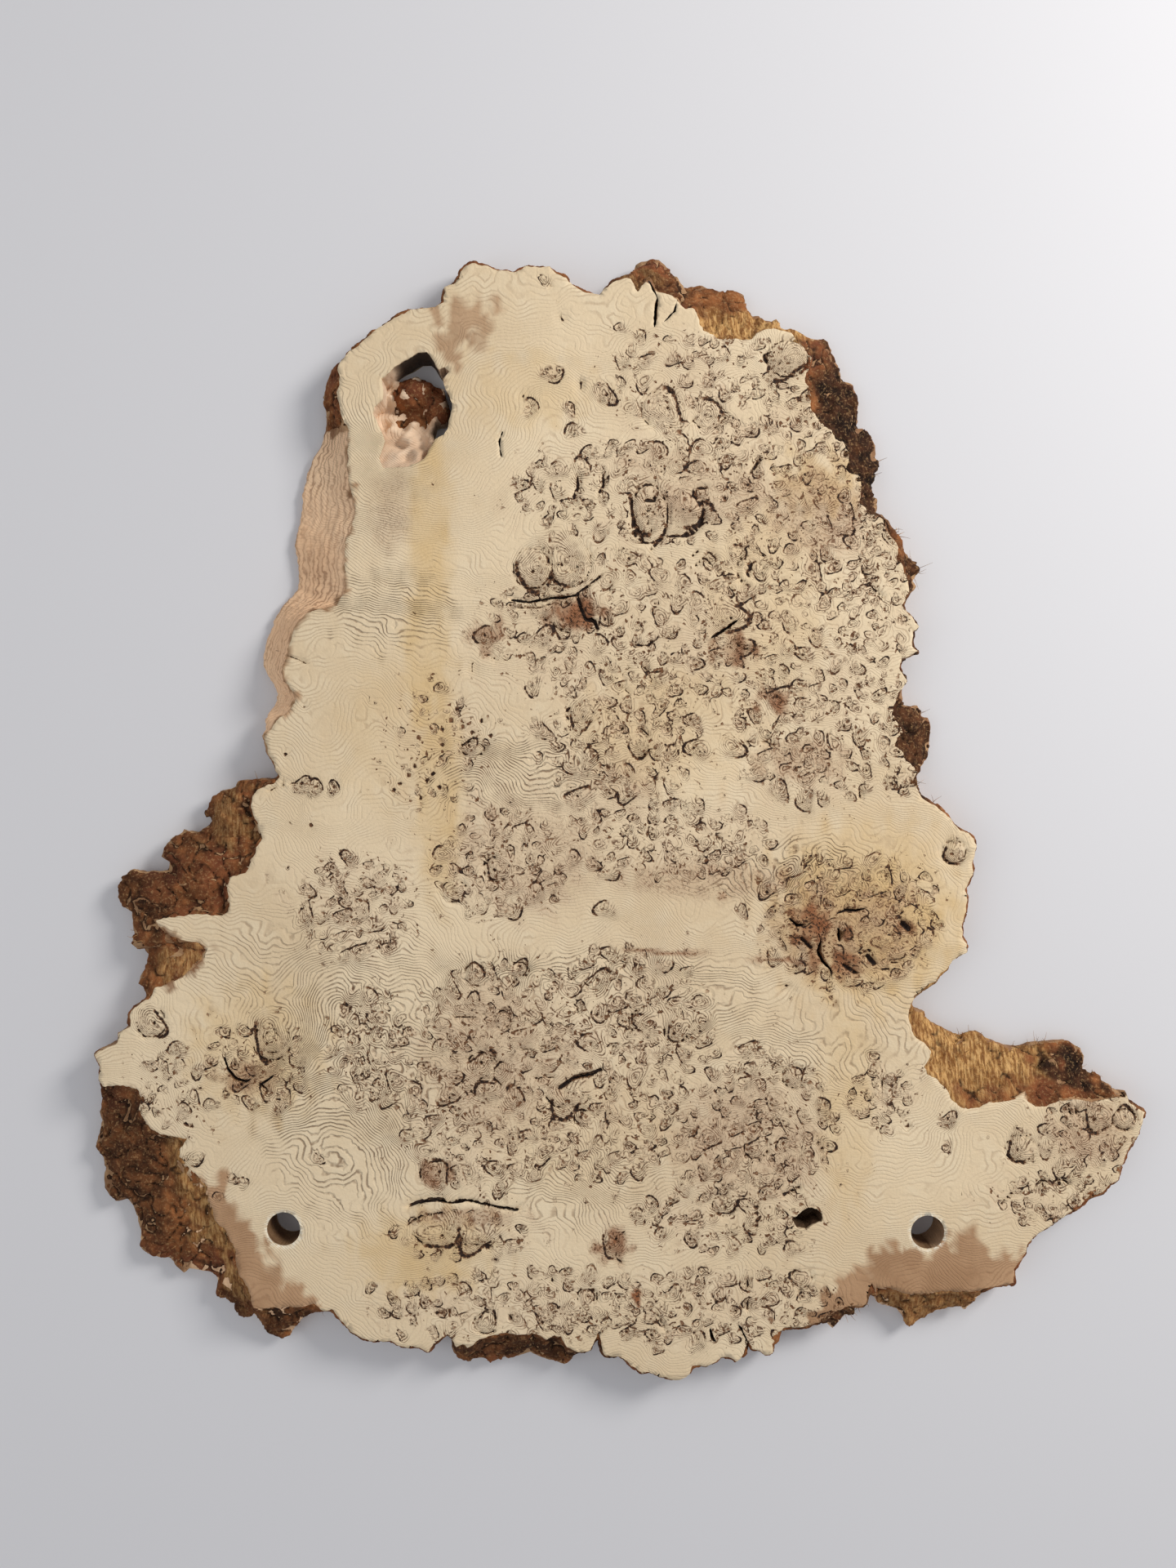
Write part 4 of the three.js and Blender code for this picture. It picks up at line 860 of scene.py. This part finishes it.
cream = tint(tree, cream, (238, 228, 206), attribute(tree, "torn"), ramp(tree, fine, 0.35, 0.6))
cream = tint(tree, cream, (126, 84, 52), ramp(tree, dark, 0, 0.6))
cream = tint(tree, cream, (42, 25, 15), ramp(tree, dark, 0.45, 1.0))
height_mm = math_node(tree, "MULTIPLY", add(tree, "ShaderNodeSeparateXYZ", {0: bent}).outputs[2], 1000)
layer_saw = math_node(tree, "ADD", math_node(tree, "DIVIDE", height_mm, 2.1), product(tree, middle, 1.1))
layer_line = math_node(tree, "SUBTRACT", math_node(tree, "FRACT", layer_saw), 0.5)
layer_line = ramp(tree, math_node(tree, "ABSOLUTE", layer_line), 0.2, 0.48)
rim = blend(tree, ramp(tree, middle, 0.35, 0.65), linear(132, 94, 62), linear(178, 140, 100))
# Painted light: the flank's pale wood is made lighter than its own colour, to stand in for the key light
# that it faces away from.
flank_tone_with_painted_light = blend(tree, ramp(tree, broad, 0.35, 0.65), linear(246, 208, 168), linear(234, 190, 148))
rim = blend(tree, rosy_here, rim, flank_tone_with_painted_light)
rim = tint(tree, rim, (136, 92, 62), layer_line, ramp(tree, patchy, 0.3, 0.7, 0.2, 0.65))
scoop_tone = blend(tree, ramp(tree, patchy, 0.3, 0.7), linear(230, 202, 172), linear(190, 154, 122))
rim = blend(tree, attribute(tree, "cavity"), rim, scoop_tone)
# Painted shade: the hole, knot-hole and hollow walls are darkened towards near black.
rim = tint(tree, rim, (34, 20, 12), attribute(tree, "painted_shade"))
sawn_here = attribute(tree, "sawn")
# Painted shade: the walls of the clefts are darkened to near black.
cleft_shade_mask = math_node(tree, "ADD", attribute(tree, "cleft"), product(tree, wander, 0.6))
cleft_shade_mask = product(tree, ramp(tree, cleft_shade_mask, 0.5, -0.2), ramp(tree, sawn_here, 1.0, 0.7))
skin = tint(tree, blend(tree, sawn_here, rim, cream), (32, 18, 11), cleft_shade_mask)
tree.links.new(skin, shader.inputs["Base Color"])
tree.links.new(ramp(tree, fine, 0.2, 0.8, 0.62, 0.85), shader.inputs["Roughness"])
shader.inputs["Specular IOR Level"].default_value = 0.3
grooves = product(tree, ring_line, ramp(tree, largest(tree, ripple, blush), 0, 1, 0.12, 0.5))
relief = math_node(tree, "SUBTRACT", product(tree, fine, 0.3), math_node(tree, "ADD", dark, grooves))
bump = add(tree, "ShaderNodeBump", {"Height": relief, "Strength": 1.0, "Distance": 0.0011})
tree.links.new(bump.outputs["Normal"], shader.inputs["Normal"])
slab.data.materials.append(wood)
slab.data.shade_smooth()
slab.data.set_sharp_from_angle(angle=math.radians(38))
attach(slab, "root")
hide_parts("burl_slab")

# The bark that was left on the slab's edge: corky ridges with clefts sunk well into them, their low places
# painted dark as shade, and golden fibre where it meets the wood. It is a crust about three millimetres
# thick over the slab.
CRUST = 3 * MM
CRUST_SKIN = 1.42 * MM
SMALLEST_BARK = 160 * MM * MM
DARK_CORK = [
    (146, 262, 17, 60, 1), (168, 225, 14, 55, 1), (304, -166, 17, 22, 1), (338, -182, 16, 12, 0.75),
    (195, 60, 20, 60, 0.8),
    (-318, -40, 26, 40, 0.5), (-300, 0, 40, 30, 0.4), (-330, -230, 30, 60, 0.6), (-250, -330, 60, 20, 0.5),
    (205, 150, 16, 60, 0.8), (-60, -350, 60, 12, 0.7), (150, -325, 20, 14, 0.8), (20, 350, 16, 12, 0.5),
]
STRAW = [
    (230, -155, 55, 30, 1), (205, -120, 22, 30, 0.9), (80, 325, 40, 16, 1), (100, 318, 26, 14, 0.8),
    (-290, -215, 12, 30, 0.7), (-270, -255, 16, 30, 0.8), (-245, -300, 16, 26, 0.8), (-262, 0, 14, 20, 0.5),
    (200, -325, 50, 14, 0.5), (-285, -95, 20, 16, 0.6), (15, 355, 12, 8, 0.5), (270, -160, 20, 16, 0.8),
]
crust_bm = solid_copy()
bmesh.ops.delete(crust_bm, geom=[f for f in crust_bm.faces if not under_bark(f)], context="FACES")
scraps = set(crust_bm.faces)
while scraps:
    island = [scraps.pop()]
    for f in island:
        for e in f.edges:
            for g in e.link_faces:
                if g in scraps:
                    scraps.discard(g)
                    island.append(g)
    if sum(f.calc_area() for f in island) < SMALLEST_BARK:
        bmesh.ops.delete(crust_bm, geom=island, context="FACES")
bmesh.ops.solidify(crust_bm, geom=crust_bm.faces[:], thickness=CRUST)
bmesh.ops.recalc_face_normals(crust_bm, faces=crust_bm.faces)
crust = mesh_object("bark_crust", crust_bm)
remesh = crust.modifiers.new("even_skin", "REMESH")
remesh.mode = "VOXEL"
remesh.voxel_size = CRUST_SKIN
fine_mesh = bpy.data.meshes.new_from_object(crust.evaluated_get(bpy.context.evaluated_depsgraph_get()))
crust.modifiers.clear()
crust.data = fine_mesh
count = len(fine_mesh.vertices)
places = np.zeros(count * 3, np.float32)
normals = np.zeros(count * 3, np.float32)
fine_mesh.vertices.foreach_get("co", places)
fine_mesh.vertex_normals.foreach_get("vector", normals)
places = places.reshape(-1, 3)
normals = normals.reshape(-1, 3)
x = places[:, 0] / MM - SHIFT.x
y = places[:, 1] / MM - SHIFT.y
ragged = 3 * waves(x, y, 12, 30, 8, 21)
cork = blobs(x, y, DARK_CORK, 2 * ragged)
straw = blobs(x, y, STRAW, 2 * ragged)
lift = np.zeros(count)
for i, co in enumerate(places):
    point = Vector(co)
    lump = noise.noise(point * 60) * 1.5 + noise.noise(point * 170) * 1.1 + noise.noise(point * 420) * 0.7
    lump += cork[i] * (noise.noise(point * 230) * 1.3 + noise.noise(point * 520) * 0.7)
    cleft = abs(noise.noise(point * 95 + Vector((7, 3, 1))))
    lift[i] = lump - 1.9 * max(0, 0.1 - cleft) / 0.1
lift *= 1 - 0.45 * straw * (1 - cork)
places += normals * (np.clip(lift + 0.5, -2.4, 2.6) * MM)[:, None]
for axis in (0, 1, 2):
    low, high = slab_low[axis], slab_high[axis]
    places[:, axis] = np.clip(places[:, axis], low, high - (0.3 * MM if axis == 2 else 0))
fine_mesh.vertices.foreach_set("co", places.ravel())
fine_mesh.update()
set_values(crust, "crest_shade", np.clip(lift / 4 + 0.5, 0, 1))
set_values(crust, "cork", cork)
set_values(crust, "straw", straw)
bark, tree, shader = new_material("oak_bark")
spot = add(tree, "ShaderNodeTexCoord").outputs["Object"]
grit = speckle(tree, spot, 520, 4, 0.65)
patch = speckle(tree, spot, 90, 4, 0.6)
broad = speckle(tree, spot, 22, 3)
brown_bark = blend(tree, ramp(tree, patch, 0.35, 0.68), linear(92, 54, 30), linear(150, 94, 54))
brown_bark = tint(tree, brown_bark, (120, 66, 44), ramp(tree, broad, 0.45, 0.65, 0, 0.6))
straw_bark = blend(tree, ramp(tree, patch, 0.3, 0.65), linear(142, 96, 50), linear(196, 150, 92))
strand_place = add(
    tree, "ShaderNodeMapping", {"Vector": spot, "Rotation": (0, 0, 0.2), "Scale": (620, 120, 260)},
).outputs[0]
strand = speckle(tree, strand_place, 1, 3, 0.6)
straw_bark = tint(tree, straw_bark, (112, 68, 34), ramp(tree, strand, 0.46, 0.6, 0, 0.75))
straw_bark = tint(tree, straw_bark, (222, 180, 122), ramp(tree, strand, 0.5, 0.36, 0, 0.6))
cork_bark = blend(tree, ramp(tree, patch, 0.35, 0.7), linear(30, 18, 12), linear(78, 47, 29))
straw_here = attribute(tree, "straw")
tone = blend(tree, straw_here, brown_bark, straw_bark)
tone = blend(tree, attribute(tree, "cork"), tone, cork_bark)
tone = tint(tree, tone, (196, 156, 108), ramp(tree, grit, 0.5, 0.72, 0, 0.45))
# Painted shade: the bark's low places, its clefts, are darkened towards near black.
tone = tint(tree, tone, (30, 18, 11), ramp(tree, attribute(tree, "crest_shade"), 0.44, 0.1, 0, 0.85))
tree.links.new(tone, shader.inputs["Base Color"])
shader.inputs["Roughness"].default_value = 0.9
shader.inputs["Specular IOR Level"].default_value = 0.15
relief = math_node(tree, "ADD", math_node(tree, "ADD", grit, patch), product(tree, strand, straw_here))
bump = add(tree, "ShaderNodeBump", {"Height": relief, "Strength": 0.9, "Distance": 0.0012})
tree.links.new(bump.outputs["Normal"], shader.inputs["Normal"])
crust.data.materials.clear()
crust.data.materials.append(bark)
crust.data.shade_smooth()
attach(crust, "root")
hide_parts("burl_slab")

# Loose strands of wood fibre and bast that stand out of the bark where it was torn, in tufts
# along the notch, the right flank and the foot. Each is rooted in the bark behind it.
TUFTS = [
    (245, -146, 24, 22, 7), (280, -141, 14, 20, 9), (322, -160, 14, 10, 5), (196, 170, 12, 16, 9),
    (192, 196, 10, 8, 7), (170, 232, 12, 8, 6), (152, -325, 12, 16, 8), (200, -335, 24, 8, 5),
    (-321, -80, 14, 10, 6), (-232, 26, 14, 8, 5), (-250, -322, 20, 10, 6), (-190, -330, 14, 8, 6),
    (204, 60, 14, 10, 6), (206, 20, 12, 8, 6), (-300, -280, 18, 8, 6), (90, 340, 14, 8, 5),
]
strands_bm = bmesh.new()
for cx, cy, reach, number, longest in TUFTS:
    near = np.nonzero((np.hypot(x - cx, y - cy) < reach) & (places[:, 2] > 3 * MM))[0]
    for _ in range(number if len(near) else 0):
        i = int(rng.choice(near))
        root = Vector(places[i])
        aim = Vector(normals[i]) + Vector([rng.uniform(-0.5, 0.5) for _ in range(3)])
        aim.z *= 0.5
        aim.normalize()
        length = longest * rng.uniform(0.5, 1) * MM
        turn = aim.to_track_quat("Z", "Y").to_matrix().to_4x4()
        first_vert, first_edge = len(strands_bm.verts), len(strands_bm.edges)
        bmesh.ops.create_cone(
            strands_bm, cap_ends=True, segments=4, radius1=0.24 * MM, radius2=0.06 * MM, depth=length,
            matrix=Matrix.Translation(root + aim * length * 0.4) @ turn,
        )
        strands_bm.edges.ensure_lookup_table()
        sides = [e for e in strands_bm.edges[first_edge:] if e.calc_length() > 0.8 * length]
        bmesh.ops.subdivide_edges(strands_bm, edges=sides, cuts=3)
        strands_bm.verts.ensure_lookup_table()
        bend = Vector([rng.uniform(-0.8, 0.8) for _ in range(3)]) * length
        for v in strands_bm.verts[first_vert:]:
            v.co += bend * max(0, (v.co - root).dot(aim) / length) ** 2
for v in strands_bm.verts:
    for axis in (0, 1, 2):
        v.co[axis] = min(max(v.co[axis], slab_low[axis]), slab_high[axis])
bmesh.ops.recalc_face_normals(strands_bm, faces=strands_bm.faces)
strands = mesh_object("loose_fibres", strands_bm)
fibre, tree, shader = new_material("loose_fibre")
spot = add(tree, "ShaderNodeTexCoord").outputs["Object"]
streak = speckle(tree, spot, 300, 3)
tone = blend(tree, ramp(tree, streak, 0.35, 0.65), linear(104, 66, 36), linear(184, 138, 86))
tree.links.new(tone, shader.inputs["Base Color"])
shader.inputs["Roughness"].default_value = 0.8
bump = add(tree, "ShaderNodeBump", {"Height": streak, "Strength": 0.4, "Distance": 0.0003})
tree.links.new(bump.outputs["Normal"], shader.inputs["Normal"])
strands.data.materials.append(fibre)
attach(strands, "root")
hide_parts("burl_slab")
